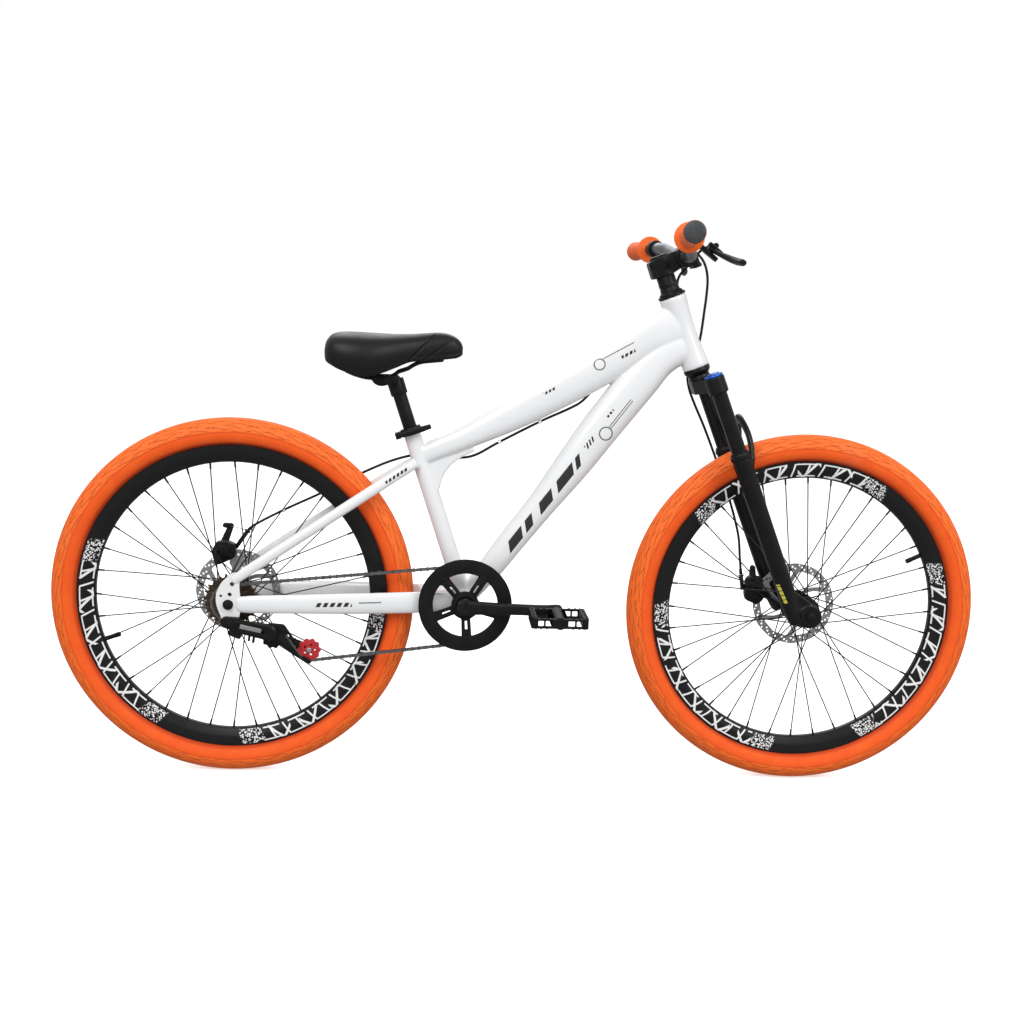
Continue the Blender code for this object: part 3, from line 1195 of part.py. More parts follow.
cable("rear_brake_cable", [
    loop_end, loop_end + loop_way * 0.0120, Vector((0.1350, 0.0290, 0.7570)),
    Vector((0.1060, 0.0120, 0.7240)), Vector((0.0800, 0.0010, 0.7080)), Vector((0.0240, 0.0, 0.6810)),
    Vector((-0.0500, 0.0, 0.6410)), Vector((-0.0950, 0.0050, 0.6145)), Vector((-0.1280, 0.0200, 0.6070)),
    Vector((-0.1600, 0.0265, 0.6110)), Vector((-0.2000, 0.0330, 0.6100)), Vector((-0.2500, 0.0410, 0.5960)),
    Vector((-0.3100, 0.0500, 0.5680)), Vector((-0.3800, 0.0570, 0.5300)), Vector((-0.4550, 0.0600, 0.4930)),
    Vector((-0.5080, 0.0600, 0.4640)), Vector((-0.5215, 0.0600, 0.4528)),
])
cable("front_brake_cable", [
    adjuster_left, adjuster_left - Y * 0.0140, Vector((0.3120, 0.0880, 1.0080)),
    Vector((0.3230, 0.0650, 0.9960)), Vector((0.3306, 0.0520, 0.9780)), Vector((0.3347, 0.0480, 0.9540)),
    Vector((0.3337, 0.0460, 0.9240)), Vector((0.3312, 0.0450, 0.8960)), Vector((0.3272, 0.0440, 0.8545)),
    Vector((0.3221, 0.0440, 0.8261)), on_head(0.0080, 0.0060, 0.0470), on_head(-0.0140, -0.0120, 0.0480),
    on_head(-0.0400, -0.0170, 0.0500), on_head(-0.0700, -0.0160, 0.0540), on_head(-0.1200, -0.0120, 0.0580),
    on_head(-0.1900, -0.0100, 0.0600), on_head(-0.2700, -0.0100, 0.0620), on_head(-0.3400, -0.0160, 0.0600),
    on_head(-0.3850, -0.0280, 0.0570), Vector((0.4349, 0.0563, 0.3890)),
])
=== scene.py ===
"""Looks of a hardtail freeride bicycle, worked out round its solid model.

Metres, +X forward, +Y left, +Z up.
"""

import bmesh
import bpy
import numpy as np
from math import ceil, cos, pi, radians, sin, sqrt
from mathutils import Matrix, Vector
from mathutils.geometry import tessellate_polygon


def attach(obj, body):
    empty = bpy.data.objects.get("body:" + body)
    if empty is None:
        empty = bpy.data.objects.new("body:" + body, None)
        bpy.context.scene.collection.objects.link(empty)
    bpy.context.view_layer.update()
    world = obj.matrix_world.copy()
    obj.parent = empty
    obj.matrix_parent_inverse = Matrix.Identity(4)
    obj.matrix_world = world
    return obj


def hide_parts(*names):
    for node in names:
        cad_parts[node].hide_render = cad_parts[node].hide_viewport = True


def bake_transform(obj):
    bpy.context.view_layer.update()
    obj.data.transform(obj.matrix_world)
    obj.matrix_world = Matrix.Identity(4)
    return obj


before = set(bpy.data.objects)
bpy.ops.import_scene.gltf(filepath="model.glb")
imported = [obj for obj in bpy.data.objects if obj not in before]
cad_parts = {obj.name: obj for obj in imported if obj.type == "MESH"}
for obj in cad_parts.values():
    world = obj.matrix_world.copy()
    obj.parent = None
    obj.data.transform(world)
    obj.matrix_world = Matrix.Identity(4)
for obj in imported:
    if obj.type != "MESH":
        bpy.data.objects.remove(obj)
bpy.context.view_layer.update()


# Tyres
# Each tyre is a casing of coloured rubber over its tube, with short slanting cuts in a round tread.
# Its beads sit in the well of the rim. The side wall turns a darker, redder orange near the rim, which is
# painted shade where it meets the rim;
# the cuts and a band where the tread begins are also darkened with painted shade.

AXLE_AHEAD = 0.539
AXLE_HIGH = 0.336
AXLES = {"front": np.array([AXLE_AHEAD, 0, AXLE_HIGH]), "rear": np.array([-AXLE_AHEAD, 0, AXLE_HIGH])}
LEFTWARDS = np.array([0.0, 1.0, 0.0])
TYRE_ROUND = 0.027
TYRE_MIDDLE = 0.309


def eased(rows, per=8):
    """A finer row of values: half of 2b + (c - a)t + (2a - 5b + 4c - d)t^2 + (3b - a - 3c + d)t^3."""
    p = np.asarray(rows, float)
    p = np.vstack([2 * p[0] - p[1], p, 2 * p[-1] - p[-2]])
    t = np.linspace(0, 1, per, endpoint=False)[None, :, None]
    a, b, c, d = (p[k:len(p) - 3 + k, None, :] for k in range(4))
    bend, twist = 2 * a - 5 * b + 4 * c - d, 3 * b - a - 3 * c + d
    fine = 0.5 * (2 * b + (c - a) * t + bend * t ** 2 + twist * t ** 3)
    return np.vstack([fine.reshape(-1, p.shape[1]), p[-2]])


def skin(rings, loop=False):
    """Four-sided faces from each ring of corners to the next, and one flat face over either end."""
    rows, count = rings.shape[:2]
    i, j = np.meshgrid(np.arange(rows if loop else rows - 1), np.arange(count), indexing="ij")
    on, beside = (i + 1) % rows, (j + 1) % count
    quads = np.stack([i * count + j, i * count + beside, on * count + beside, on * count + j], -1)
    faces = [quads.reshape(-1, 4)]
    if not loop:
        faces.append(np.stack([np.arange(count), np.arange(count) + (rows - 1) * count]))
    return rings.reshape(-1, 3), faces


def turned(profile, centre, axis=LEFTWARDS, steps=96, loop=False):
    """A profile of (along, radius) carried round an axis:
    centre + axis * along + radius * (p cos a + q sin a)."""
    axis = np.asarray(axis, float) / np.linalg.norm(axis)
    hint = np.array([1.0, 0, 0]) if abs(axis[0]) < 0.9 else np.array([0, 0, 1.0])
    p = hint - axis * hint.dot(axis)
    p /= np.linalg.norm(p)
    a = np.linspace(0, 2 * pi, steps, endpoint=False)[:, None]
    out = p * np.cos(a) + np.cross(axis, p) * np.sin(a)
    along, radius = np.asarray(profile, float).T
    return skin(np.asarray(centre, float) + along[:, None, None] * axis + radius[:, None, None] * out, loop)


def gathered(name, shells):
    """One mesh of all the shells, with its faces outwards."""
    mesh = bpy.data.meshes.new(name)
    points, faces, base = [], [], 0
    for corners, groups in shells:
        points.append(corners)
        for group in groups:
            faces += (np.asarray(group) + base).tolist()
        base += len(corners)
    mesh.from_pydata(np.vstack(points).tolist(), [], faces)
    bm = bmesh.new()
    bm.from_mesh(mesh)
    bmesh.ops.recalc_face_normals(bm, faces=bm.faces[:])
    bm.to_mesh(mesh)
    bm.free()
    return mesh


def piece(name, shells, finish, body, nodes=(), crease=32, bevel=0.0):
    """Shells in one mesh, with edges rounded if asked, hung on a body in the place of its nodes."""
    made = bpy.data.objects.new(name, gathered(name, shells))
    bpy.context.scene.collection.objects.link(made)
    if bevel:
        edge = made.modifiers.new("edge", "BEVEL")
        edge.width, edge.segments, edge.limit_method, edge.angle_limit = bevel, 2, "ANGLE", radians(40)
        made.data = settled(made)
    made.data.shade_smooth()
    made.data.set_sharp_from_angle(angle=radians(crease))
    made.data.materials.clear()
    made.data.materials.append(finish.material)
    if body:
        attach(made, body)
    if nodes:
        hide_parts(*nodes)
    return made


def settled(made):
    """The mesh that an object's modifiers give, with none left on it."""
    mesh = bpy.data.meshes.new_from_object(made.evaluated_get(bpy.context.evaluated_depsgraph_get()))
    made.modifiers.clear()
    return mesh


class Amount:
    """A number that varies over a surface: + - * / and the named sums on it add their nodes."""

    def __init__(self, finish, socket):
        self.finish, self.socket = finish, socket

    def then(self, operation, *others):
        inputs = dict(enumerate((self, *others)))
        return Amount(self.finish, self.finish.node("Math", {"operation": operation}, inputs).outputs[0])

    def __add__(self, other):
        return self.then("ADD", other)

    def __sub__(self, other):
        return self.then("SUBTRACT", other)

    def __mul__(self, other):
        return self.then("MULTIPLY", other)

    def __truediv__(self, other):
        return self.then("DIVIDE", other)

    def ramp(self, low, high):
        """0 below low, 1 above high, and smooth between; the other way about if low is the larger."""
        inputs = {"Value": self, 1: low, 2: high, 3: 0.0, 4: 1.0}
        made = self.finish.node("MapRange", {"interpolation_type": "SMOOTHSTEP"}, inputs)
        return Amount(self.finish, made.outputs[0])

    def line(self, width, soft):
        """1 where the number is within a width of a whole one, else 0."""
        return self.then("PINGPONG", 0.5).ramp(width + soft, width)

    def within(self, middle, half, soft):
        """1 where the number is within half of the middle, else 0."""
        return (self - middle).then("ABSOLUTE").ramp(half + soft, half)


class Finish:
    """One finish: a Principled shader with its fixed values, and what varies over the surface."""

    def __init__(self, name, slot, colour, roughness, **fixed):
        self.slot, self.base, self.bumps = slot, (*colour, 1.0), None
        self.material = bpy.data.materials.new(name)
        self.material.use_nodes = True
        self.tree = self.material.node_tree
        self.shader = self.tree.nodes["Principled BSDF"]
        self.shader.inputs["Base Color"].default_value = self.base
        self.shader.inputs["Roughness"].default_value = roughness
        for key, value in fixed.items():
            self.shader.inputs[key.replace("_", " ").title().replace("Ior", "IOR")].default_value = value
        self.place = self.node("TexCoord", {}, {}).outputs["Object"]
        split = self.node("SeparateXYZ", {}, {0: self.place}).outputs
        self.x, self.y, self.z = (Amount(self, split[k]) for k in range(3))

    def node(self, kind, settings, inputs):
        made = self.tree.nodes.new("ShaderNode" + kind)
        for key, value in settings.items():
            setattr(made, key, value)
        for key, value in inputs.items():
            value = getattr(value, "socket", value)
            if isinstance(value, bpy.types.NodeSocket):
                self.tree.links.new(value, made.inputs[key])
            else:
                made.inputs[key].default_value = value
        return made

    def noise(self, scale, detail=3.0, stretch=(1, 1, 1)):
        place = self.node("Mapping", {}, {"Vector": self.place, "Scale": stretch}).outputs[0]
        made = self.node("TexNoise", {}, {"Vector": place, "Scale": scale, "Detail": detail})
        return Amount(self, made.outputs[0])

    def cells(self, scale, stretch=(1, 1, 1)):
        place = self.node("Mapping", {}, {"Vector": self.place, "Scale": stretch}).outputs[0]
        return Amount(self,
                      self.node("TexVoronoi", {}, {"Vector": place, "Scale": scale}).outputs["Distance"])

    def polar(self):
        """Radius from a wheel's axle, and the turn from -0.5 to 0.5 of a circle."""
        u, w = self.x.then("ABSOLUTE") - AXLE_AHEAD, self.z - AXLE_HIGH
        return (u * u + w * w).then("SQRT"), w.then("ARCTAN2", u) / (2 * pi)

    def tint(self, share, colour):
        """Moves the colour towards another by a share."""
        made = self.node("Mix", {"data_type": "RGBA"}, {0: share, 6: self.base, 7: (*colour, 1.0)})
        self.base = made.outputs[2]
        self.tree.links.new(self.base, self.shader.inputs["Base Color"])
        return self

    def mottle(self, grain, edges, share, colour):
        """Patches of another colour, where the noise goes from one edge to the other."""
        return self.tint(self.noise(*grain).ramp(*edges) * share, colour)

    def haze(self, grain, spread, least):
        """A roughness that wanders upwards from its least."""
        return self.dull(self.noise(*grain) * spread + least)

    def grit(self, scale, detail, deep):
        """A fine unevenness of the surface."""
        return self.relief(self.noise(scale, detail), deep)

    def dull(self, roughness):
        self.tree.links.new(roughness.then("MAXIMUM", 0.04).socket, self.shader.inputs["Roughness"])
        return self

    def relief(self, height, deep):
        """Raises the surface by the height times the depth, in metres."""
        inputs = {"Height": height, "Distance": deep, "Strength": 1.0}
        if self.bumps:
            inputs["Normal"] = self.bumps
        self.bumps = self.node("Bump", {}, inputs).outputs[0]
        self.tree.links.new(self.bumps, self.shader.inputs["Normal"])
        return self


casing = Finish("orange_tyre_rubber", "orange_tyre", (0.88, 0.1, 0.008), 0.62, specular_ior_level=0.3)
reach, turn = casing.polar()
lean = (reach - TYRE_MIDDLE).then("ARCTAN2", casing.y.then("ABSOLUTE"))
wander = casing.noise(42, 3) * 0.9
tread = lean.ramp(0.02, 0.16)
rising = (lean * 3.2 + turn * 40 + wander).line(0.022, 0.045)
falling = (lean * 2.8 - turn * 34 + wander * 1.4).line(0.018, 0.045)
cuts = rising * (turn * 56 + lean * 1.1 + wander).line(0.33, 0.06)
cuts = cuts + falling * (turn * 56 - lean * 0.9 + 0.5).line(0.22, 0.06)
cuts = (cuts * tread).then("MINIMUM", 1.0)
casing.mottle((35, 4), (0.35, 0.75), 0.35, (0.95, 0.16, 0.016))
# Painted shade: the second tint makes the side wall a darker, redder orange near the rim.
casing.tint(tread * 0.55, (0.93, 0.185, 0.024)).tint(reach.ramp(0.2945, 0.288) * 0.7, (0.42, 0.028, 0.006))
# Painted shade: the cuts and a band along the ridge where the tread begins are darkened.
casing.tint(cuts * 0.7, (0.4, 0.03, 0.005)).tint(lean.within(0.04, 0.035, 0.03) * 0.35, (0.5, 0.04, 0.006))
casing.mottle((9, 5), (0.62, 0.8), 0.12, (0.5, 0.28, 0.18))
casing.haze((120, 3), 0.25, 0.48)
casing.relief(cuts * -1.0, 0.0009).grit(900, 2, 0.00006).relief(tread, 0.0006)
casing.relief((reach * 520).line(0.22, 0.2) * reach.ramp(0.302, 0.296), 0.0002)

for end, axle in AXLES.items():
    sweep = np.radians(np.linspace(-40, 220, 53))
    section = np.stack([TYRE_ROUND * np.cos(sweep), TYRE_MIDDLE + TYRE_ROUND * np.sin(sweep)], 1)
    beads = [(-0.0115, 0.2868), (-0.0108, 0.2803), (0.0108, 0.2803), (0.0115, 0.2868)]
    casing_shell = turned(np.vstack([section, beads]), axle, steps=216, loop=True)
    piece(end + "_tyre_casing", [casing_shell], casing, end + "_wheel", [end + "_tyre"], 50)


# Rims
# Each rim is a deep hollow aluminium section, painted black and then printed with white line work in arcs.
# The line work here is a plain zigzag between fields of dots. A black valve stem stands through the rim.

RIM_APEX = 0.254
half_rim = [(0.0, RIM_APEX), (0.0045, RIM_APEX), (0.0075, 0.2556), (0.0128, 0.2672), (0.014, 0.271),
            (0.014, 0.2862), (0.0136, 0.2867), (0.0127, 0.2867), (0.0122, 0.286), (0.0114, 0.28)]
rim_section = half_rim + [(-y, r) for y, r in reversed(half_rim[1:])]
rim_paint = {}
for end, arcs in (("front", (0.275, 0.611, -0.058)), ("rear", (-0.053, -0.375, -0.375))):
    paint = Finish(end + "_rim_paint", "black_paint", (0.006, 0.006, 0.007), 0.36, specular_ior_level=0.28)
    reach, turn = paint.polar()
    band = (reach - 0.27) / 0.014
    u = turn * 62
    wave = u.then("PINGPONG", 1.0) * 2.0 - 1.0
    gate = (turn * 27 + 0.2).line(0.34, 0.01)
    strokes = (band * 0.95 - wave).then("ABSOLUTE").ramp(0.26, 0.19) * gate
    strokes = strokes + (u + band * 0.2 + 0.3).line(0.058, 0.012) * band.within(0, 0.86, 0.03)
    strokes = strokes + band.then("ABSOLUTE").within(0.8, 0.075, 0.03) * (u * 0.5 + 0.1).line(0.33, 0.01)
    dots = paint.cells(300).ramp(0.52, 0.42)
    printed = None
    for middle in arcs:
        away = (turn - middle).then("WRAP", 0.5, -0.5).then("ABSOLUTE")
        here = strokes * away.ramp(0.091, 0.089) + dots * (away + band * 0.003).within(0.1035, 0.0115, 0.002)
        printed = here if printed is None else printed.then("MAXIMUM", here)
    printed = (printed * band.within(0, 0.95, 0.02) * paint.y.then("ABSOLUTE").ramp(0.005, 0.006))
    paint.tint(printed.then("MINIMUM", 1.0), (0.8, 0.8, 0.8))
    paint.haze((70, 4), 0.22, 0.2).grit(500, 2, 0.00003)
    rim_paint[end] = paint
    piece(end + "_rim_hoop", [turned(rim_section, AXLES[end], steps=216, loop=True)], paint,
          end + "_wheel", [end + "_rim"], 28)

moulded = Finish("moulded_black_plastic", "black_plastic", (0.0045, 0.0045, 0.005), 0.36,
                 specular_ior_level=0.2)
moulded.mottle((40, 4), (0.4, 0.8), 0.5, (0.012, 0.012, 0.013))
moulded.haze((150, 3), 0.2, 0.38).grit(1400, 2, 0.00004)
for end, angle in (("front", 25.5), ("rear", 200.0)):
    way = np.array([cos(radians(angle)), 0, sin(radians(angle))])
    stem = [(-0.2552, 0.0052), (-0.2535, 0.0052), (-0.2525, 0.0043), (-0.235, 0.0042), (-0.2345, 0.0046),
            (-0.2255, 0.0046), (-0.224, 0.0036)]
    piece(end + "_valve_stem", [turned(stem, AXLES[end], -way, 20)], moulded, end + "_wheel")


# Hubs and spokes
# Each hub is a turned barrel with two drilled flanges. The 36 spokes hook into the flanges, each crossing
# three others, and screw into nipples in the rim. Spokes and hub are black.

black_gloss = Finish("black_painted_metal", "black_paint", (0.0045, 0.0045, 0.005), 0.24,
                     specular_ior_level=0.24)
black_gloss.mottle((30, 4), (0.45, 0.8), 0.5, (0.016, 0.016, 0.018))
black_gloss.haze((90, 4), 0.22, 0.19).grit(420, 2, 0.00003)
satin = Finish("satin_black_metal", "satin_black_metal", (0.0045, 0.0045, 0.005), 0.25,
               specular_ior_level=0.22)
satin.mottle((60, 4), (0.45, 0.8), 0.5, (0.022, 0.022, 0.024))
satin.haze((200, 3), 0.25, 0.28).grit(1100, 2, 0.00003)
FLANGES = {"front": (-0.033, 0.029), "rear": (-0.0255, 0.033)}
FLANGE = 0.03
SPOKE = 0.00115
RIGHT_BARREL = {"front": 0.0125, "rear": 0.016}
HALF_HUB = {"front": 0.0465, "rear": 0.064}


def rod(start, end, radius, steps=16):
    """A round bar between two points."""
    start, end = np.asarray(start, float), np.asarray(end, float)
    length = np.linalg.norm(end - start)
    return turned([(0, radius), (length, radius)], start, end - start, steps)


def swept(path, wide, high, sides=24, power=2.0, across=LEFTWARDS):
    """A section carried along a path: across * wide * c^(2/power) + up * high * s^(2/power) at each point."""
    path = np.asarray(path, float)
    along = np.gradient(path, axis=0)
    along /= np.linalg.norm(along, axis=1)[:, None]
    across = np.broadcast_to(np.asarray(across, float), path.shape)
    side = across - along * (across * along).sum(1)[:, None]
    side /= np.linalg.norm(side, axis=1)[:, None]
    up = np.cross(along, side)
    a = (np.arange(sides) + 0.5) * 2 * pi / sides
    c, s = (np.sign(f) * np.abs(f) ** (2 / power) for f in (np.cos(a), np.sin(a)))
    wide, high = (np.broadcast_to(np.asarray(v, float), len(path)) for v in (wide, high))
    sideways = side[:, None] * (wide[:, None] * c)[..., None]
    upwards = up[:, None] * (high[:, None] * s)[..., None]
    return skin(path[:, None] + sideways + upwards)


for end, axle in AXLES.items():
    right, left = FLANGES[end]
    last, barrel = HALF_HUB[end], RIGHT_BARREL[end]
    profile = [(-last, 0.0056), (-last, barrel), (right - 0.004, barrel), (right - 0.0018, 0.02),
               (right - 0.0016, FLANGE - 0.0004), (right, FLANGE + 0.0004), (right + 0.0016, FLANGE - 0.0004),
               (right + 0.0018, 0.02), (right + 0.006, 0.015), (left - 0.006, 0.015),
               (left - 0.0018, 0.02), (left - 0.0016, FLANGE - 0.0004), (left, FLANGE + 0.0004),
               (left + 0.0016, FLANGE - 0.0004), (left + 0.0018, 0.02), (left + 0.004, 0.0165),
               (last, 0.0165), (last, 0.0056)]
    piece(end + "_hub_shell", [turned(profile, axle, steps=64, loop=True)], black_gloss, end + "_wheel",
          [end + "_hub_and_spokes"], 30, 0.0004)
    spokes, nipples = [], []
    for side, flange in enumerate(FLANGES[end]):
        for index in range(18):
            outside = 1 if index % 2 else -1
            rim_turn = 2 * pi / 36 * (2 * index + side)
            hub_turn = rim_turn + radians(60) * outside
            hole = np.array([cos(hub_turn), 0, sin(hub_turn)])
            to_rim = np.array([cos(rim_turn), 0, sin(rim_turn)])
            hook = axle + hole * 0.0262 + LEFTWARDS * (flange - outside * 0.003)
            bend = axle + hole * 0.0262 + LEFTWARDS * (flange + outside * 0.0022)
            tip = axle + to_rim * 0.2555 + LEFTWARDS * (0.0015 if flange > 0 else -0.0015)
            run = (tip - bend) / np.linalg.norm(tip - bend)
            spokes.append(swept(eased([hook, bend, bend + run * 0.006, tip], 3), SPOKE, SPOKE, 8,
                                across=np.array([0.3, 0.9, 0.3])))
            spokes.append(turned([(0, 0.0009), (0.0003, 0.002), (0.0009, 0.0016)], hook,
                                 LEFTWARDS * -outside, 8))
            nipples.append(turned([(0, 0.0011), (0.0004, 0.0018), (0.0115, 0.002)], tip - run * 0.013,
                                  run, 8))
    piece(end + "_spokes", spokes, black_gloss, end + "_wheel")
    piece(end + "_spoke_nipples", nipples, satin, end + "_wheel")


# Brake rotors
# Each rotor is a stamped steel disc, 160 mm across, with slanting arms and a drilled braking track.
# Six bolts hold it to the left end of the hub, and the pads leave fine scratches round the track.

steel = Finish("bare_brushed_steel", "bare_steel", (0.4, 0.4, 0.41), 0.34, metallic=1.0)
reach, turn = steel.polar()
rings = steel.noise(40, 6, (1, 1, 1)) * 0.25 + (reach * 2600 + steel.noise(300, 2)).line(0.2, 0.3) * 0.3
steel.mottle((90, 5), (0.5, 0.8), 0.5, (0.46, 0.45, 0.44))
steel.dull(rings + 0.16).relief(rings, 0.00003)
ROTOR = {"front": 0.044, "rear": 0.0525}


def circle(radius, steps=16, centre=(0.0, 0.0), start=0.0):
    """Corners round a circle: centre + radius * (cos a, sin a)."""
    a = start + np.linspace(0, 2 * pi, steps, endpoint=False)
    return np.stack([centre[0] + radius * np.cos(a), centre[1] + radius * np.sin(a)], 1)


def waved(radius, deep, waves, steps):
    """A wavy circle: (radius + deep * cos(waves * a)) * (cos a, sin a)."""
    a = np.linspace(0, 2 * pi, steps, endpoint=False)
    out = radius + deep * np.cos(a * waves)
    return np.stack([out * np.cos(a), out * np.sin(a)], 1)


def plate(outline, holes=(), low=0.0, high=0.001, centre=(0, 0, 0), axes=((1, 0, 0), (0, 0, 1), (0, 1, 0))):
    """A flat sheet: the outline less its holes on two axes, from low to high along the third."""
    loops = [np.asarray(loop, float) for loop in (outline, *holes)]
    flat = np.vstack(loops)
    fill = np.array(tessellate_polygon([[Vector((u, v, 0)) for u, v in loop] for loop in loops]))
    u, v, w = (np.asarray(axis, float) for axis in axes)
    base = np.asarray(centre, float) + flat[:, :1] * u + flat[:, 1:] * v
    walls, first, count = [], 0, len(flat)
    for loop in loops:
        i = np.arange(len(loop))
        j = (i + 1) % len(loop)
        walls.append(np.stack([i + first, j + first, j + first + count, i + first + count], 1))
        first += len(loop)
    return np.vstack([base + w * low, base + w * high]), [fill, fill + count, *walls]


def rounded(corners, radius, steps=4):
    """An outline with each corner c rounded: (1-t)^2 a + 2t(1-t) c + t^2 b,
    from a before it to b after it."""
    c = np.asarray(corners, float)
    back, on = np.roll(c, 1, 0) - c, np.roll(c, -1, 0) - c
    size = [np.linalg.norm(v, axis=1)[:, None] for v in (back, on)]
    a, b = (c + v / s * np.minimum(radius, s * 0.45) for v, s in zip((back, on), size))
    t = np.linspace(0, 1, steps)[None, :, None]
    return ((1 - t) ** 2 * a[:, None] + 2 * t * (1 - t) * c[:, None] + t ** 2 * b[:, None]).reshape(-1, 2)


for end, axle in AXLES.items():
    y = ROTOR[end]
    holes = [circle(0.017, 32)]
    for arm in range(6):
        a = 2 * pi * arm / 6
        window = [(0.0265, a + 0.06), (0.0265, a + 0.44), (0.0265, a + 0.84), (0.045, a + 0.6),
                  (0.0655, a + 0.38), (0.0668, a - 0.05), (0.0655, a - 0.5), (0.045, a - 0.24)]
        holes.append(rounded([(r * cos(t), r * sin(t)) for r, t in window], 0.004, 3))
        holes.append(circle(0.003, 10, (0.0215 * cos(a + 0.5), 0.0215 * sin(a + 0.5))))
    for k in range(24):
        a = 2 * pi * k / 24
        for r, size, shift in ((0.0698, 0.0019, 0.0), (0.0732, 0.0021, 0.08), (0.0764, 0.0017, 0.16)):
            holes.append(circle(size, 7, (r * cos(a + shift), r * sin(a + shift))))
    disc = plate(waved(0.0796, 0.0004, 12, 144), holes, y - 0.0009, y + 0.0009, axle)
    piece(end + "_brake_disc", [disc], steel, end + "_wheel", [end + "_rotor"], 30)
    bolts = []
    for k in range(6):
        a = 2 * pi * k / 6 + 0.5
        at = axle + np.array([0.0215 * cos(a), y, 0.0215 * sin(a)])
        bolts.append(turned([(0, 0.0033), (0.0016, 0.0033), (0.0024, 0.0022)],
                            at + LEFTWARDS * 0.0006, LEFTWARDS, 12))
    piece(end + "_rotor_bolts", bolts, satin, end + "_wheel")


# Axles
# Each axle is a threaded steel rod with cones and lock nuts inside the ends of the hub and a six-sided
# nut with a washer outside either drop-out. Only the nuts and the ends of the thread show.

for end, axle, outer in (("front", AXLES["front"], 0.076), ("rear", AXLES["rear"], 0.0741)):
    half = HALF_HUB[end] + 0.0035
    shells = [turned([(-outer - 0.0088, 0.0044), (outer + 0.0088, 0.0044)], axle, steps=24)]
    for side in (-1, 1):
        shells.append(turned([(side * (half - 0.0028), 0.0085), (side * (half - 0.0002), 0.0085)],
                             axle, steps=6))
        shells.append(turned([(side * outer, 0.0095), (side * (outer + 0.001), 0.0095)], axle, steps=32))
        shells.append(turned([(side * (outer + 0.001), 0.0084), (side * (outer + 0.0062), 0.0084),
                              (side * (outer + 0.0072), 0.0076)], axle, steps=6))
        shells.append(turned([(side * (outer + 0.0062), 0.0068), (side * (outer + 0.008), 0.006)],
                             axle, steps=24))
    piece(end + "_axle_and_nuts", shells, satin, "fork_slider" if end == "front" else "frame",
          [end + "_axle"], 30, 0.0003)


# Freewheel
# Six stamped cogs, the largest inboard, sit on a ratchet body that screws onto the hub.
# The plated steel is brown with use, and the spacers between the cogs are dark.

browned = Finish("browned_cog_steel", "brown_steel", (0.075, 0.05, 0.032), 0.42, metallic=0.8)
browned.mottle((70, 5), (0.4, 0.75), 0.7, (0.15, 0.1, 0.062))
browned.mottle((160, 4), (0.6, 0.8), 0.6, (0.03, 0.024, 0.02))
browned.haze((220, 4), 0.3, 0.26).grit(900, 3, 0.00005)
PITCH = 0.0127
COGS = (14, 16, 18, 20, 22, 24)


def pitch_radius(teeth):
    """Radius at which a chain lies: half the pitch over the sine of half a tooth's turn."""
    return PITCH / 2 / sin(pi / teeth)


def toothed(teeth, start=0.0):
    """A sprocket's outline: for each tooth a root, two flanks and a narrow tip."""
    size = pitch_radius(teeth)
    share = np.array([-0.5, -0.32, -0.17, -0.07, 0.07, 0.17, 0.32])
    reach = np.array([-0.0041, -0.0036, -0.001, 0.0022, 0.0022, -0.001, -0.0036]) + size
    a = start + 2 * pi * (np.arange(teeth)[:, None] + share) / teeth
    return np.stack([reach * np.cos(a), reach * np.sin(a)], -1).reshape(-1, 2)


shells = [turned([(-0.0637, 0.0171), (-0.0637, 0.0205), (-0.063, 0.0212), (-0.0352, 0.0212),
                  (-0.0345, 0.0205), (-0.0345, 0.0171)], AXLES["rear"], steps=48, loop=True)]
for index, teeth in enumerate(COGS):
    y = -0.0615 + 0.005 * index
    shells.append(plate(toothed(teeth, index * 0.3), [circle(0.0195, 32)], y - 0.0009, y + 0.0009,
                        AXLES["rear"]))
    if index < 5:
        shells.append(turned([(y + 0.0012, 0.0205), (y + 0.0012, 0.0232), (y + 0.0038, 0.0232),
                              (y + 0.0038, 0.0205)], AXLES["rear"], steps=40, loop=True))
piece("cog_stack", shells, browned, "freewheel_body", ["freewheel"], 30)


# Front frame
# Drawn aluminium tubes, welded: flat-sided down and top tubes that meet behind the head tube, a seat tube
# with a web under the top tube, and the shell of the bottom bracket. Gloss white, with plain dark bars.

HEAD_UP = np.array([-cos(radians(68.0)), 0, sin(radians(68.0))])
HEAD_FORE = np.array([HEAD_UP[2], 0, -HEAD_UP[0]])
HEAD_BASE = AXLES["front"] + HEAD_UP * 0.5062 - HEAD_FORE * 0.0397
HEAD_LENGTH = 0.139
BRACKET = AXLES["rear"] + np.array([0.4325, 0, 0.004])
SEAT_UP = np.array([-cos(radians(71.1)), 0, sin(radians(71.1))])
SEAT_FORE = np.array([SEAT_UP[2], 0, -SEAT_UP[0]])
SEAT_LENGTH = 0.3405


def on_head(up, fore, left=0.0):
    """A place on the steering axis by distance up it, forward of it and to the left."""
    return HEAD_BASE + HEAD_UP * up + HEAD_FORE * fore + LEFTWARDS * left


def on_seat(up, fore, left=0.0):
    """A place on the seat tube by distance up it, forward of it and to the left."""
    return BRACKET + SEAT_UP * up + SEAT_FORE * fore + LEFTWARDS * left


def lofted(stations, per=6, sides=40, power=2.4, across=LEFTWARDS):
    """A tube through stations of (place, half width, half height), eased between them."""
    rows = eased([[*place, wide, high] for place, wide, high in stations], per)
    return swept(rows[:, :3], rows[:, 3], rows[:, 4], sides, power, across)


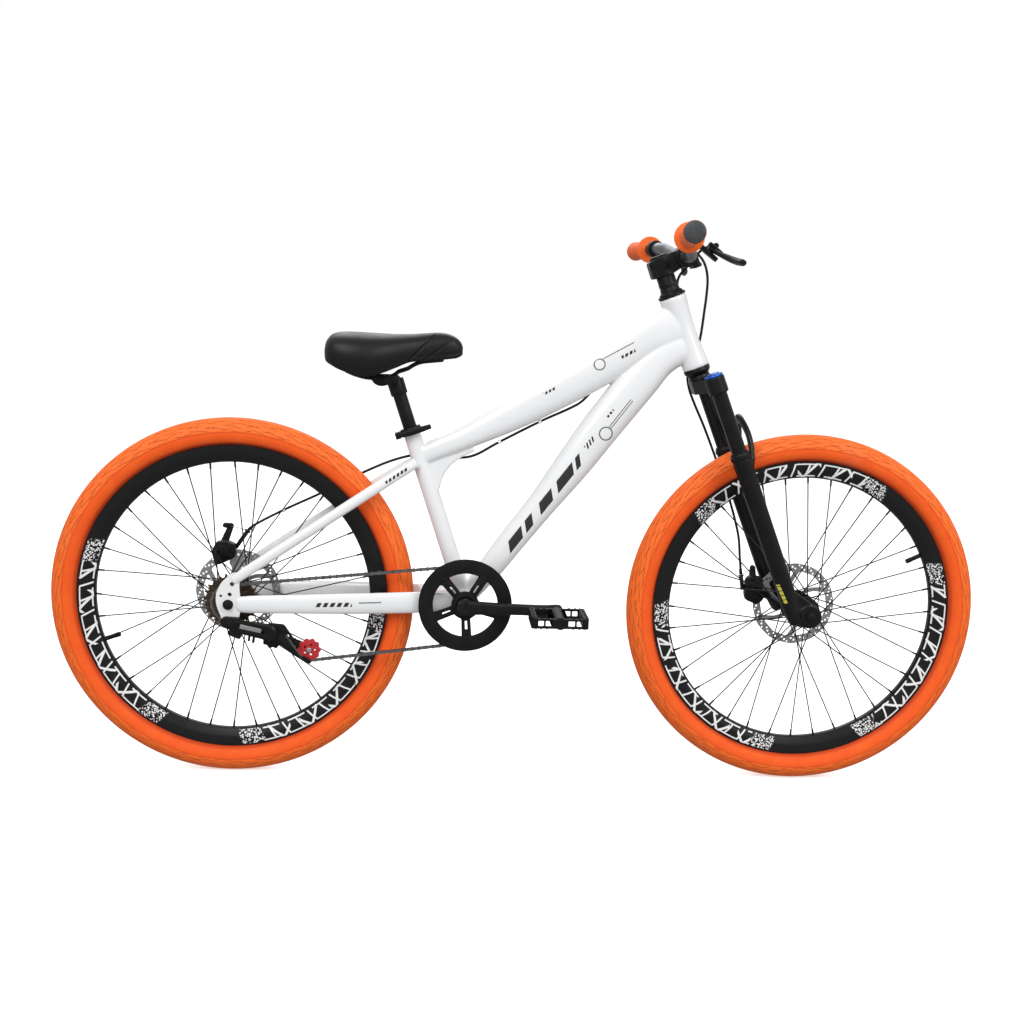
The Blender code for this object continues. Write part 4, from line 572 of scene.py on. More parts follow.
def fused(shells, voxel, rounds):
    """Closed shells welded into one skin: the space they fill, meshed afresh, then smoothed at the joins."""
    work = bpy.data.objects.new("weld", gathered("weld", shells))
    bpy.context.scene.collection.objects.link(work)
    remesh = work.modifiers.new("remesh", "REMESH")
    remesh.mode, remesh.voxel_size = "VOXEL", voxel
    smooth = work.modifiers.new("smooth", "SMOOTH")
    smooth.factor, smooth.iterations = 0.5, rounds
    mesh = settled(work)
    bpy.data.objects.remove(work, do_unlink=True)
    corners = np.zeros(len(mesh.vertices) * 3)
    mesh.vertices.foreach_get("co", corners)
    quads = np.zeros(len(mesh.loops), int)
    mesh.loops.foreach_get("vertex_index", quads)
    return corners.reshape(-1, 3), [quads.reshape(-1, 4)]


white = Finish("gloss_white_paint", "white_paint", (0.8, 0.81, 0.82), 0.24, coat_weight=0.5,
               coat_roughness=0.08)
white.mottle((14, 4), (0.45, 0.85), 0.25, (0.73, 0.74, 0.76))


def along_tube(finish, start, end):
    """How far a place is along a tube from its start, and how far up from its middle line."""
    start, end = np.asarray(start, float), np.asarray(end, float)
    way = (end - start) / np.linalg.norm(end - start)
    dx, dz = finish.x - float(start[0]), finish.z - float(start[2])
    return dx * float(way[0]) + dz * float(way[2]), dz * float(way[0]) - dx * float(way[2])




def dashes(s, t, up, half, per, lean, share, middle, reach, soft=0.0004):
    """A row of slanting dashes: near one height on a tube, and within reach of a place along it."""
    return t.within(up, half, soft) * (s * per - t * lean).line(share, 0.06) * s.within(middle, reach, 0.0005)


aside = white.y.then("ABSOLUTE")
flank = aside.ramp(0.0085, 0.0095)
s, t = along_tube(white, (-0.0236, 0, 0.4509), (0.2027, 0, 0.757))
slanted = s - t * 0.9
blocks = slanted.within(0.014, 0.019, 0.0006)
for middle, half in ((0.054, 0.01), (0.105, 0.018), (0.162, 0.023), (0.2, 0.006)):
    blocks = blocks + slanted.within(middle, half, 0.0006)
ink = t.within(-0.001, 0.0085, 0.0006) * blocks
ink = ink + dashes(s, t, 0.004, 0.0045, 130, 90, 0.22, 0.24, 0.012, 0.0005)
ink = ink + dashes(s, t, 0.008, 0.002, 130, 0, 0.26, 0.305, 0.01)
ring = ((s - 0.272) * (s - 0.272) + (t + 0.009) * (t + 0.009)).then("SQRT").within(0.012, 0.0011, 0.0004)
thin = ring + (t + 0.008).then("ABSOLUTE").within(0.0022, 0.0007, 0.0004) * s.within(0.318, 0.032, 0.0005)
s, t = along_tube(white, (-0.1142, 0, 0.6473), (0.1857, 0, 0.8196))
ink = ink + dashes(s, t, 0.004, 0.0022, 130, 60, 0.28, 0.178, 0.012)
ink = ink + dashes(s, t, -0.004, 0.0026, 110, 60, 0.3, 0.338, 0.014)
thin = thin + t.within(0.01, 0.0007, 0.0004) * s.within(0.325, 0.032, 0.0005)
thin = thin + ((s - 0.282) * (s - 0.282) + (t - 0.004) * (t - 0.004)).then("SQRT").within(0.01, 0.001, 0.0004)
s, t = along_tube(white, (-0.41, 0, 0.463), (-0.195, 0, 0.606))
aft_of_joint = white.x.ramp(-0.215, -0.216) * aside.ramp(0.027, 0.028)
ink = ink + dashes(s, t, 0.0, 0.0026, 120, 70, 0.3, 0.205, 0.023) * aft_of_joint
s, t = along_tube(white, (-0.4, 0, 0.338), (-0.18, 0, 0.34))
outer = aside.ramp(0.06, 0.0605)
ink = ink + dashes(s, t, 0.0, 0.0038, 80, 40, 0.28, 0.052, 0.033) * outer
line = t.within(0.003, 0.0009, 0.0004) * s.within(0.118, 0.02, 0.0005)
thin = thin + line * aside.ramp(0.052, 0.0525)
white.tint((thin * flank).then("MINIMUM", 1.0) * 0.9, (0.05, 0.05, 0.055))
white.tint((ink * flank).then("MINIMUM", 1.0), (0.014, 0.014, 0.016))
white.haze((45, 4), 0.14, 0.15).grit(260, 2, 0.00004)

top_tube = [(on_seat(0.276, -0.002), 0.013, 0.016), (on_seat(0.286, 0.018), 0.015, 0.019),
            ((-0.1142, 0, 0.6473), 0.018, 0.0218), ((-0.0377, 0, 0.687), 0.02, 0.0285),
            ((0.0369, 0, 0.7282), 0.0215, 0.032), ((0.1115, 0, 0.7712), 0.0232, 0.0335),
            ((0.1857, 0, 0.8196), 0.024, 0.035), ((0.221, 0, 0.844), 0.0236, 0.036),
            (on_head(0.087, -0.014), 0.0215, 0.04), (on_head(0.091, 0.002), 0.015, 0.038)]
down_tube = [(BRACKET + (0.004, 0, 0.006), 0.02, 0.017), ((-0.0555, 0, 0.407), 0.0228, 0.0228),
             ((-0.0236, 0, 0.4509), 0.0237, 0.0245), ((0.0318, 0, 0.5239), 0.025, 0.0264),
             ((0.0897, 0, 0.6037), 0.0262, 0.0328), ((0.1452, 0, 0.6823), 0.0268, 0.0362),
             ((0.2027, 0, 0.757), 0.0262, 0.0365), ((0.2402, 0, 0.8013), 0.0235, 0.0332),
             (on_head(0.0455, -0.015), 0.0215, 0.0292), (on_head(0.047, 0.002), 0.015, 0.026)]
gusset = [(on_head(0.056, -0.01), 0.017, 0.025), ((0.245, 0, 0.823), 0.0185, 0.026),
          ((0.205, 0, 0.792), 0.0185, 0.022), ((0.181, 0, 0.774), 0.015, 0.012)]
head_profile = eased([(0, 0.0246), (0.008, 0.0248), (0.03, 0.0228), (0.0695, 0.0213), (0.109, 0.0228),
                      (0.131, 0.0248), (HEAD_LENGTH, 0.0246)], 6)
web = [(-0.19, 0.59), (-0.164, 0.543), (-0.159, 0.552), (-0.1545, 0.57), (-0.149, 0.583),
       (-0.137, 0.598), (-0.119, 0.611), (-0.095, 0.623), (-0.12, 0.645)]
shells = [turned(head_profile, HEAD_BASE, HEAD_UP, 56), lofted(top_tube), lofted(down_tube), lofted(gusset),
          turned([(-0.01, 0.0159), (SEAT_LENGTH, 0.0159)], BRACKET, SEAT_UP, 48),
          turned([(-0.0338, 0.0206), (-0.033, 0.0208), (0.033, 0.0208), (0.0338, 0.0206)], BRACKET, steps=48),
          plate(web, (), -0.0075, 0.0075)]
piece("welded_front_frame", [fused(shells, 0.0019, 5)], white, "frame", ["front_frame"], 60)


# Rear stays
# Each side has a chainstay, a seatstay and a flat drop-out with round holes, welded on behind the front
# frame and painted with it. The right drop-out carries the hanger, the left one the brake.

DROP_OUT = 0.0678
SIDES = ((-1, "right"), (1, "left"))


def stay_tube(rows, side, sides=28, power=2.2):
    """A stay for one side: the right-hand stations, moved over for the left."""
    return lofted([((x, side * y, z), wide, high) for x, y, z, wide, high in rows], 8, sides, power)


chainstay = [(-0.523, 0.0708, 0.336, 0.005, 0.014), (-0.494, 0.07, 0.3365, 0.0068, 0.0165),
             (-0.4, 0.065, 0.338, 0.008, 0.018), (-0.3, 0.0545, 0.339, 0.0082, 0.0195),
             (-0.18, 0.0345, 0.34, 0.0082, 0.02), (-0.13, 0.0245, 0.34, 0.0082, 0.017)]
seatstay = [(-0.53, 0.0708, 0.379, 0.005, 0.008), (-0.505, 0.0702, 0.398, 0.0066, 0.0096),
            (-0.41, 0.062, 0.463, 0.0088, 0.01), (-0.3, 0.047, 0.537, 0.0088, 0.01),
            (-0.238, 0.03, 0.578, 0.0088, 0.01), (-0.205, 0.017, 0.599, 0.0088, 0.01)]
drop_rear = [(-0.552, 0.376), (-0.561, 0.356), (-0.5605, 0.336), (-0.554, 0.319)]
hanger = [(-0.549, 0.306), (-0.543, 0.296), (-0.533, 0.292), (-0.5225, 0.297), (-0.52, 0.308)]
drop_front = [(-0.517, 0.323), (-0.515, 0.33), (-0.515, 0.343), (-0.518, 0.356), (-0.519, 0.376),
              (-0.515, 0.393), (-0.532, 0.396)]
brake_tab = [(-0.544, 0.399), (-0.556, 0.396), (-0.56, 0.386)]
for side, word in SIDES:
    low, high = sorted((side * DROP_OUT, side * (DROP_OUT + 0.006)))
    edge = drop_rear + (hanger if side < 0 else [(-0.544, 0.312), (-0.529, 0.311)]) + drop_front
    edge += brake_tab if side > 0 else []
    holes = [circle(0.0056, 20, (-AXLE_AHEAD, AXLE_HIGH)), circle(0.0042, 16, (-0.532, 0.374)),
             circle(0.0038, 16, (-0.536, 0.355)), circle(0.0026, 12, (-0.552, 0.352))]
    tubes = fused([stay_tube(chainstay, side), stay_tube(seatstay, side)], 0.0013, 4)
    drop = plate(rounded(edge, 0.006), holes, low + 0.0003, high - 0.0003)
    piece(word + "_welded_stays", [tubes, drop], white, "frame", [word + "_rear_stays"], 42)

clips = []
for x, y, z in ((-0.455, 0.06, 0.493), (-0.31, 0.05, 0.568), (-0.05, 0.0, 0.641), (0.024, 0.0, 0.681)):
    spot = np.array([x, y, z])
    clips.append(turned([(-0.003, 0.0027), (-0.003, 0.0038), (0.003, 0.0038), (0.003, 0.0027)], spot,
                        (0.86, 0, 0.5) if abs(y) < 0.01 else (-0.87, 0.06, -0.49), 20, True))
piece("cable_guides", clips, white, "frame", (), 30)


# Headset
# Two pressed cups hold the bearings at the ends of the head tube. Above the upper one lie the cone's
# cover and a tall tapered spacer, on which the stem rests. All of it is satin black.

def ring_up(rows, mat, body, name, nodes, steps=56):
    """A turned ring on the steering axis."""
    return piece(name, [turned(rows, HEAD_BASE, HEAD_UP, steps, True)], mat, body, nodes, 28, 0.0003)


ring_up([(0.127, 0.0152), (0.127, 0.0187), (0.1393, 0.0187), (0.1393, 0.0252), (0.14, 0.0258),
         (0.143, 0.0258), (0.1438, 0.025), (0.1438, 0.0152)], satin, "frame", "upper_bearing_cup",
        ["headset_upper_cup"])
ring_up([(0.012, 0.0152), (0.012, 0.0187), (-0.0003, 0.0187), (-0.0003, 0.0246), (-0.006, 0.0248),
         (-0.0085, 0.0232), (-0.012, 0.0215), (-0.012, 0.0152)], satin, "frame", "lower_bearing_cup",
        ["headset_lower_cup"])
ring_up([(0.1441, 0.0152), (0.1441, 0.0222), (0.1455, 0.0225), (0.1478, 0.0212), (0.149, 0.0196),
         (0.1502, 0.0182), (0.156, 0.0176), (0.1565, 0.017), (0.16, 0.017), (0.1605, 0.0176),
         (0.166, 0.0176), (0.1665, 0.017), (0.1785, 0.017), (0.1785, 0.0152)], satin,
        "steering", "bearing_cover_and_spacer", ["headset_cone_spacer"])


# Fork crown and upper tubes
# A forged crown joins the steerer and the two upper tubes of the coil fork. The right leg's cap is the
# blue preload knob with a knurled edge, the left leg's is black.

CROWN_TOP = 0.0205
CROWN_LOW = 0.052
LEG_FORE = 0.0135
LEG_OUT = 0.0654
LEG_BOSS = 0.0185
stanchion_black = Finish("polished_black_tube", "satin_black_metal", (0.005, 0.005, 0.0055),
                         0.16, specular_ior_level=0.26)
stanchion_black.mottle((25, 3), (0.5, 0.8), 0.4, (0.02, 0.02, 0.022))
stanchion_black.dull(stanchion_black.noise(140, 4, (1, 1, 0.15)) * 0.16 + 0.1)
half_edge = [(-0.021, 0.0), (-0.0205, 0.018), (-0.012, 0.038)]
half_edge += [(LEG_FORE - LEG_BOSS * cos(radians(a)), LEG_OUT + LEG_BOSS * sin(radians(a)))
              for a in range(-20, 191, 15)]
half_edge += [(0.025, 0.04), (0.025, 0.0)]
crown_edge = half_edge + [(u, -v) for u, v in reversed(half_edge[1:-1])]
crown_axes = (HEAD_FORE, LEFTWARDS, HEAD_UP)
crown = [plate(crown_edge, (), -CROWN_LOW + 0.006, -CROWN_TOP, HEAD_BASE, crown_axes),
         turned([(-CROWN_TOP - 0.02, 0.0198), (-0.016, 0.0198), (-0.0123, 0.0185)], HEAD_BASE, HEAD_UP, 40)]
for side in (-1, 1):
    leg = on_head(0, LEG_FORE, side * LEG_OUT)
    crown.append(turned([(-CROWN_LOW, LEG_BOSS - 0.0014), (-CROWN_LOW + 0.002, LEG_BOSS),
                         (-CROWN_TOP - 0.001, LEG_BOSS)], leg, HEAD_UP, 40))
piece("forged_crown", [fused(crown, 0.0014, 4)], black_gloss, "steering", ["fork_crown"], 50)
blue = Finish("blue_anodised_cap", "blue_cap", (0.01, 0.085, 0.42), 0.25, metallic=0.6)
blue.mottle((90, 4), (0.5, 0.8), 0.4, (0.03, 0.2, 0.7))
blue.haze((300, 3), 0.3, 0.14).grit(800, 2, 0.00004)
for side, word in SIDES:
    leg = on_head(0, LEG_FORE, side * LEG_OUT)
    tube = turned([(-0.33, 0.0132), (-0.329, 0.0139), (-CROWN_TOP, 0.0139)], leg, HEAD_UP, 48)
    piece(word + "_upper_tube", [tube], stanchion_black, "steering", [word + "_stanchion"], 30)
    cap = [turned([(-0.0202, 0.017), (-0.018, 0.0172), (-0.0162, 0.0164), (-0.0158, 0.012)], leg,
                  HEAD_UP, 48)]
    cap.append(turned([(-0.017, 0.0118), (-0.0139, 0.0112), (-0.0136, 0.009)], leg, HEAD_UP, 18))
    piece(word + "_leg_top_cap", cap, blue if side < 0 else satin, "steering",
          ["preload_cap" if side < 0 else "left_leg_cap"], 30, 0.0003)


# Fork lowers
# One magnesium casting: two legs that slide on the upper tubes, an arch over the tyre, drop-outs and a
# mount for the brake. It is black, with plain pale bars low on each leg and a rubber seal on top.

LOWER_TOP = 0.1803


def round_discs(discs, steps=20):
    """The outline that a band round some discs of (x, z, radius) takes: their convex hull."""
    spots = np.vstack([circle(r, steps, (x, z)) for x, z, r in discs])
    spots = sorted(map(tuple, spots))
    halves = []
    for order in (spots, spots[::-1]):
        half = []
        for p in order:
            while len(half) > 1 and ((half[-1][0] - half[-2][0]) * (p[1] - half[-2][1])
                                     - (half[-1][1] - half[-2][1]) * (p[0] - half[-2][0])) <= 1e-10:
                half.pop()
            half.append(p)
        halves += half[:-1]
    return halves


cast_black = Finish("cast_black_paint", "black_paint", (0.004, 0.004, 0.0045), 0.24, specular_ior_level=0.24)
s = (cast_black.x - AXLE_AHEAD) * float(HEAD_UP[0]) + (cast_black.z - AXLE_HIGH) * float(HEAD_UP[2])
t = (cast_black.x - AXLE_AHEAD) * float(HEAD_FORE[0]) + (cast_black.z - AXLE_HIGH) * float(HEAD_FORE[2])
outside = cast_black.y.then("ABSOLUTE").ramp(0.066, 0.068)
bars = (t + s * 0.08).within(-0.032, 0.0026, 0.0005) * s.within(0.062, 0.019, 0.0005)
bars = bars * (s * 110).line(0.4, 0.04)
cast_black.mottle((24, 4), (0.45, 0.8), 0.5, (0.016, 0.016, 0.018))
cast_black.tint(bars * outside, (0.62, 0.55, 0.09))
cast_black.haze((80, 4), 0.2, 0.2).grit(330, 2, 0.00004)
arch_half = [(-0.21, 0.02, 0.064), (-0.195, 0.03, 0.061), (-0.17, 0.04, 0.052),
             (-0.145, 0.045, 0.04), (-0.126, 0.046, 0.021), (-0.119, 0.0465, 0.0)]
arch_row = arch_half + [(s, f, -y) for s, f, y in reversed(arch_half[:-1])]
casting = [lofted([(on_head(s, f, y), 0.0052, 0.0105) for s, f, y in arch_row], 5, 24, 2.8, HEAD_FORE)]
for side in (-1, 1):
    leg = on_head(0, LEG_FORE, side * LEG_OUT)
    casting.append(turned([(-LOWER_TOP, 0.018), (-0.203, 0.0179), (-0.212, 0.0171), (-0.35, 0.0166),
                           (-0.485, 0.0165), (-0.499, 0.015), (-0.512, 0.0112)], leg, HEAD_UP, 48))
    casting.append(turned([(side * 0.0503, 0.02), (side * 0.0583, 0.0232), (side * 0.0735, 0.0225),
                           (side * 0.0752, 0.0205)], AXLES["front"], steps=48))
    knee = on_head(-0.455, LEG_FORE)
    web = round_discs([(knee[0], knee[2], 0.015), (AXLE_AHEAD, AXLE_HIGH, 0.0225), (0.527, 0.338, 0.02)])
    casting.append(plate(web, (), *sorted((side * 0.056, side * 0.073))))
casting.append(plate([(0.474, 0.39), (0.484, 0.342), (0.5, 0.342), (0.496, 0.396)], (), 0.056, 0.064))
piece("cast_lower_legs", [fused(casting, 0.0015, 5)], cast_black, "fork_slider", ["fork_lowers"], 55)
for side, word in SIDES:
    leg = on_head(0, LEG_FORE, side * LEG_OUT)
    seal = [(-0.18, 0.0149), (-0.18, 0.0188), (-0.1785, 0.0192), (-0.1735, 0.019), (-0.1728, 0.0178),
            (-0.17, 0.0172), (-0.1682, 0.016), (-0.168, 0.0149)]
    piece(word + "_wiper_seal", [turned(seal, leg, HEAD_UP, 48, True)], moulded, "fork_slider",
          [word + "_dust_seal"], 30)


# Stem
# A short forged stem clamps the steerer behind and the handlebar in front, under a plate with four bolts.
# A cap screwed into the steerer closes the top. It is painted satin black.

BAR = on_head(0.2, 0.045)
stem_axes = (HEAD_FORE, HEAD_UP, LEFTWARDS)
body_edge = rounded([(-0.025, 0.18), (0.018, 0.18), (0.033, 0.184), (0.045, 0.18), (0.052, 0.183),
                     (0.052, 0.217), (0.045, 0.22), (0.033, 0.216), (0.018, 0.216), (-0.024, 0.212)], 0.004)
shells = [turned([(0.179, 0.0186), (0.18, 0.019), (0.215, 0.019), (0.2163, 0.018)], HEAD_BASE, HEAD_UP, 48),
          turned([(-0.0224, 0.0196), (-0.0215, 0.0204), (0.0215, 0.0204), (0.0224, 0.0196)], BAR, steps=48),
          plate(body_edge, (), -0.0155, 0.0155, HEAD_BASE, stem_axes)]
piece("forged_stem", [fused(shells, 0.0009, 4)], satin, "steering", ["stem"], 45)
shells = [plate(rounded([(0.0065, -0.0262), (0.02, -0.0262), (0.02, 0.0262), (0.0065, 0.0262)], 0.003), (),
                -0.0208, 0.0208, BAR, stem_axes)]
for up in (-0.0225, 0.0225):
    for left in (-0.0145, 0.0145):
        at = BAR + HEAD_UP * up + LEFTWARDS * left + HEAD_FORE * 0.0195
        shells.append(turned([(0, 0.0036), (0.0022, 0.0036), (0.003, 0.0028)], at, HEAD_FORE, 16))
for up in (0.188, 0.206):
    at = on_head(up, -0.0215, -0.014)
    shells.append(turned([(0, 0.0034), (0.0014, 0.0034), (0.002, 0.0026)], at, -LEFTWARDS, 16))
shells.append(turned([(0.2158, 0.0172), (0.2176, 0.0176), (0.2186, 0.016), (0.219, 0.005)],
                     HEAD_BASE, HEAD_UP, 40))
piece("stem_face_plate_and_bolts", shells, satin, "steering", (), 30, 0.0004)


# Handlebar and grips
# A low-rise aluminium bar, graphite grey, thick at the clamp and thinner outwards. Each grip is a sleeve
# of orange rubber with fine ribs, a broad flange inboard and a black plug in its end.

GRIP_IN = np.array([0.248, -0.2027, 1.0143])
GRIP_OUT = np.array([0.2352, -0.3147, 1.016])
GRIP_WAY = (GRIP_OUT - GRIP_IN) / np.linalg.norm(GRIP_OUT - GRIP_IN)
MIRROR = np.array([1.0, -1.0, 1.0])
graphite = Finish("graphite_bar", "graphite_aluminium", (0.15, 0.155, 0.165), 0.34, metallic=0.8)
graphite.mottle((50, 4), (0.45, 0.8), 0.5, (0.26, 0.265, 0.275))
graphite.dull(graphite.noise(160, 4, (1, 0.1, 1)) * 0.25 + 0.24).grit(700, 2, 0.00003)
half_bar = [(*BAR, 0.0127), (*(BAR - LEFTWARDS * 0.03), 0.0127), (*(BAR - LEFTWARDS * 0.045), 0.0127),
            (*(BAR + (-0.0015, -0.06, 0.0015)), 0.0126), (*(BAR + (-0.013, -0.095, 0.0125)), 0.0119),
            (*(GRIP_IN - GRIP_WAY * 0.08), 0.011), (*(GRIP_IN - GRIP_WAY * 0.02), 0.011),
            (*(GRIP_OUT - GRIP_WAY * 0.004), 0.011)]
half_bar = np.array(half_bar)
fine = eased(np.vstack([half_bar[:0:-1] * (1, -1, 1, 1), half_bar]), 6)
piece("low_rise_bar", [swept(fine[:, :3], fine[:, 3], fine[:, 3], 40, 2.0, (1, 0, 0))], graphite, "steering",
      ["handlebar"], 30)
grip_rubber = Finish("orange_grip_rubber", "orange_grip", (0.9, 0.135, 0.014), 0.58, specular_ior_level=0.4)
grip_rubber.mottle((80, 4), (0.4, 0.8), 0.4, (0.98, 0.22, 0.03))
grip_rubber.mottle((30, 4), (0.6, 0.85), 0.2, (0.45, 0.1, 0.03))
ribs = (grip_rubber.y * 430).line(0.2, 0.12) * grip_rubber.y.then("ABSOLUTE").ramp(0.21, 0.212)
grip_rubber.haze((260, 3), 0.2, 0.48).relief(ribs, 0.0005).grit(1300, 2, 0.00004)
rubber_plug = Finish("bar_end_rubber", "black_plastic", (0.03, 0.032, 0.035), 0.42)
rubber_plug.mottle((140, 3), (0.45, 0.75), 0.5, (0.045, 0.048, 0.052))
rubber_plug.haze((400, 3), 0.2, 0.34).grit(1200, 2, 0.00005)
for side, word in SIDES:
    at, way = (GRIP_IN, GRIP_WAY) if side < 0 else (GRIP_IN * MIRROR, GRIP_WAY * MIRROR)
    rows = [(0, 0.0113), (0, 0.025), (0.0008, 0.0259), (0.0028, 0.0259), (0.004, 0.0248), (0.0056, 0.0186),
            (0.0075, 0.0172)]
    rows += [(0.0075 + 0.0925 * k / 36, 0.0172 + 0.0008 * k / 36 - 0.0004 * (k % 2)) for k in range(1, 37)]
    rows += [(0.1035, 0.0187), (0.1085, 0.0191), (0.1108, 0.0184), (0.1108, 0.0113)]
    piece(word + "_grip_sleeve", [turned(rows, at, way, 64, True)], grip_rubber, "steering",
          [word + "_grip"], 40)
    plug = turned([(0.105, 0.0112), (0.1109, 0.0112), (0.1112, 0.018), (0.1126, 0.0183), (0.114, 0.0172),
                   (0.1149, 0.014), (0.1154, 0.008), (0.1155, 0.002)], at, way, 48)
    piece(word + "_bar_end_plug", [plug], rubber_plug, "steering", (), 30)


# Brake levers
# Each lever has a hinged clamp round the bar, a housing with the cable's adjuster and a short blade for
# two or three fingers. They are black plastic and painted metal. The right one works the rear brake.

PIVOT = np.array([0.296, -0.156, 0.998])
PIVOT_UP = np.array([0.6, 0, 0.8])
PIVOT_OUT = np.array([0.8, 0, -0.6])
perch_at = GRIP_IN - GRIP_WAY * 0.036
for side, word in SIDES:
    flip = np.array([1.0, -side, 1.0])
    pivot, clamp, way = PIVOT * flip, perch_at * flip, GRIP_WAY * flip
    inward = LEFTWARDS * -side
    barrel = pivot + PIVOT_OUT * 0.002 + PIVOT_UP * 0.011
    offset = pivot - clamp
    lift, fore, out = offset.dot(PIVOT_UP), offset.dot(PIVOT_OUT), offset[1]
    tip = [(fore + 0.015, out - 0.0077), (fore + 0.0192, out - 0.004), (fore + 0.0192, out + 0.004),
           (fore + 0.015, out + 0.0077)]
    arm_edge = rounded([(0.005, -0.009), (fore - 0.006, out - 0.009), *tip, (fore - 0.006, out + 0.009),
                        (0.005, 0.009)], 0.003)
    cover_edge = rounded([(fore - 0.01, out - 0.0082), *tip, (fore - 0.01, out + 0.0082)], 0.003)
    arm_axes = (PIVOT_OUT, LEFTWARDS, PIVOT_UP)
    shells = [turned([(-0.0088, 0.0113), (-0.0088, 0.0158), (-0.008, 0.0165), (0.008, 0.0165),
                      (0.0088, 0.0158), (0.0088, 0.0113)], clamp, way, 40, True),
              plate(arm_edge, (), lift - 0.011, lift - 0.0042, clamp, arm_axes),
              plate(cover_edge, (), lift + 0.0042, lift + 0.009, clamp, arm_axes),
              rod(clamp + way * 0.004 - PIVOT_OUT * 0.004, clamp + way * 0.004 + PIVOT_OUT * 0.019,
                  0.005, 20),
              turned([(-0.007, 0.0034), (-0.0058, 0.0046), (-0.0052, 0.0026), (0.01, 0.0026)],
                     pivot, PIVOT_UP, 20),
              turned([(-0.003, 0.004), (-0.002, 0.0046), (0.012, 0.0046), (0.0125, 0.004), (0.015, 0.004),
                      (0.0155, 0.0047), (0.024, 0.0047), (0.025, 0.0038), (0.0259, 0.0034)], barrel,
                     inward, 24)]
    piece(word + "_lever_housing", shells, moulded, "steering", [word + "_lever_perch"], 30, 0.0004)
    row = [(0.0, -0.002, 0.0055), (0.011, -0.018, 0.0064), (0.023, -0.042, 0.006), (0.033, -0.066, 0.0058),
           (0.0385, -0.088, 0.006), (0.0408, -0.104, 0.0058), (0.0412, -0.108, 0.0042)]
    tall = (0.0036, 0.0036, 0.005, 0.0057, 0.0056, 0.005, 0.0042)
    blade = [(pivot + PIVOT_OUT * a + LEFTWARDS * (b * -side) - PIVOT_UP * 0.0002, up, c)
             for (a, b, c), up in zip(row, tall)]
    eye = turned([(-0.0037, 0.0031), (-0.0037, 0.0062), (-0.0032, 0.0067), (0.003, 0.0067), (0.0035, 0.0062),
                  (0.0035, 0.0031)], pivot, PIVOT_UP, 32, True)
    piece(word + "_lever_blade", [lofted(blade, 6, 20, 2.6, PIVOT_UP), eye], moulded, word + "_lever_body",
          [word + "_brake_lever"], 35)


# Cranks
# Two forged arms on a steel axle in cartridge bearings, satin black, each with a capped bolt at the axle
# and a pedal's axle screwed into its far end.

RING_Y = -0.048
bearing_cups = []
for side in (-1, 1):
    bearing_cups.append(turned([(side * 0.03, 0.0092), (side * 0.03, 0.018), (side * 0.0339, 0.0195),
                                (side * 0.0375, 0.0195), (side * 0.038, 0.018), (side * 0.038, 0.0092)],
                               BRACKET, steps=40, loop=True))
piece("bottom_bracket_cups", bearing_cups, satin, "frame", (), 30)
for side, word in SIDES:
    ahead = np.array([-side, 0, 0])
    row = [(-0.0158, 0.0066, 0.0, 0.0055), (-0.011, 0.0132, 0.0, 0.0068), (0.008, 0.0136, 0.0005, 0.007),
           (0.025, 0.0124, 0.0015, 0.007), (0.06, 0.0112, 0.004, 0.0067), (0.1, 0.0104, 0.0065, 0.0064),
           (0.145, 0.0106, 0.0098, 0.0062), (0.166, 0.012, 0.0105, 0.0062), (0.174, 0.0108, 0.0105, 0.006),
           (0.1783, 0.006, 0.0105, 0.005)]
    arm = [(BRACKET + ahead * a + LEFTWARDS * side * (0.0745 + out), thick, high) for a, high, out,
           thick in row]
    inner = 0.0455 if side < 0 else 0.04
    eye = BRACKET + ahead * 0.165
    shells = [lofted(arm, 6, 36, 3.0),
              rod(BRACKET + LEFTWARDS * side * inner, BRACKET + LEFTWARDS * side * 0.08, 0.0158, 44)]
    piece(word + "_crank_arm", [fused(shells, 0.0011, 4)], satin, "cranks", [word + "_crank"], 50)
    shells = [turned([(0.0798, 0.0118), (0.0812, 0.0118), (0.0818, 0.0108), (0.0818, 0.007), (0.0808, 0.006)],
                     BRACKET, LEFTWARDS * side, 36),
              turned([(0.0808, 0.006), (0.102, 0.006), (0.1025, 0.0085), (0.104, 0.0085), (0.1045, 0.0058),
                      (0.173, 0.0056)], eye, LEFTWARDS * side, 28)]
    piece(word + "_crank_bolt_and_pedal_axle", shells, satin, "cranks", (), 30, 0.0003)


# Pedals
# Each pedal is a moulded black body open round its axle, with toothed front and rear edges for grip and
# grease caps at the ends of the axle's bore.


def block(middle, half, high):
    """The four corners of a rectangle: middle - half to middle + half by -high to high."""
    return [(middle - half, -high), (middle + half, -high), (middle + half, high), (middle - half, high)]


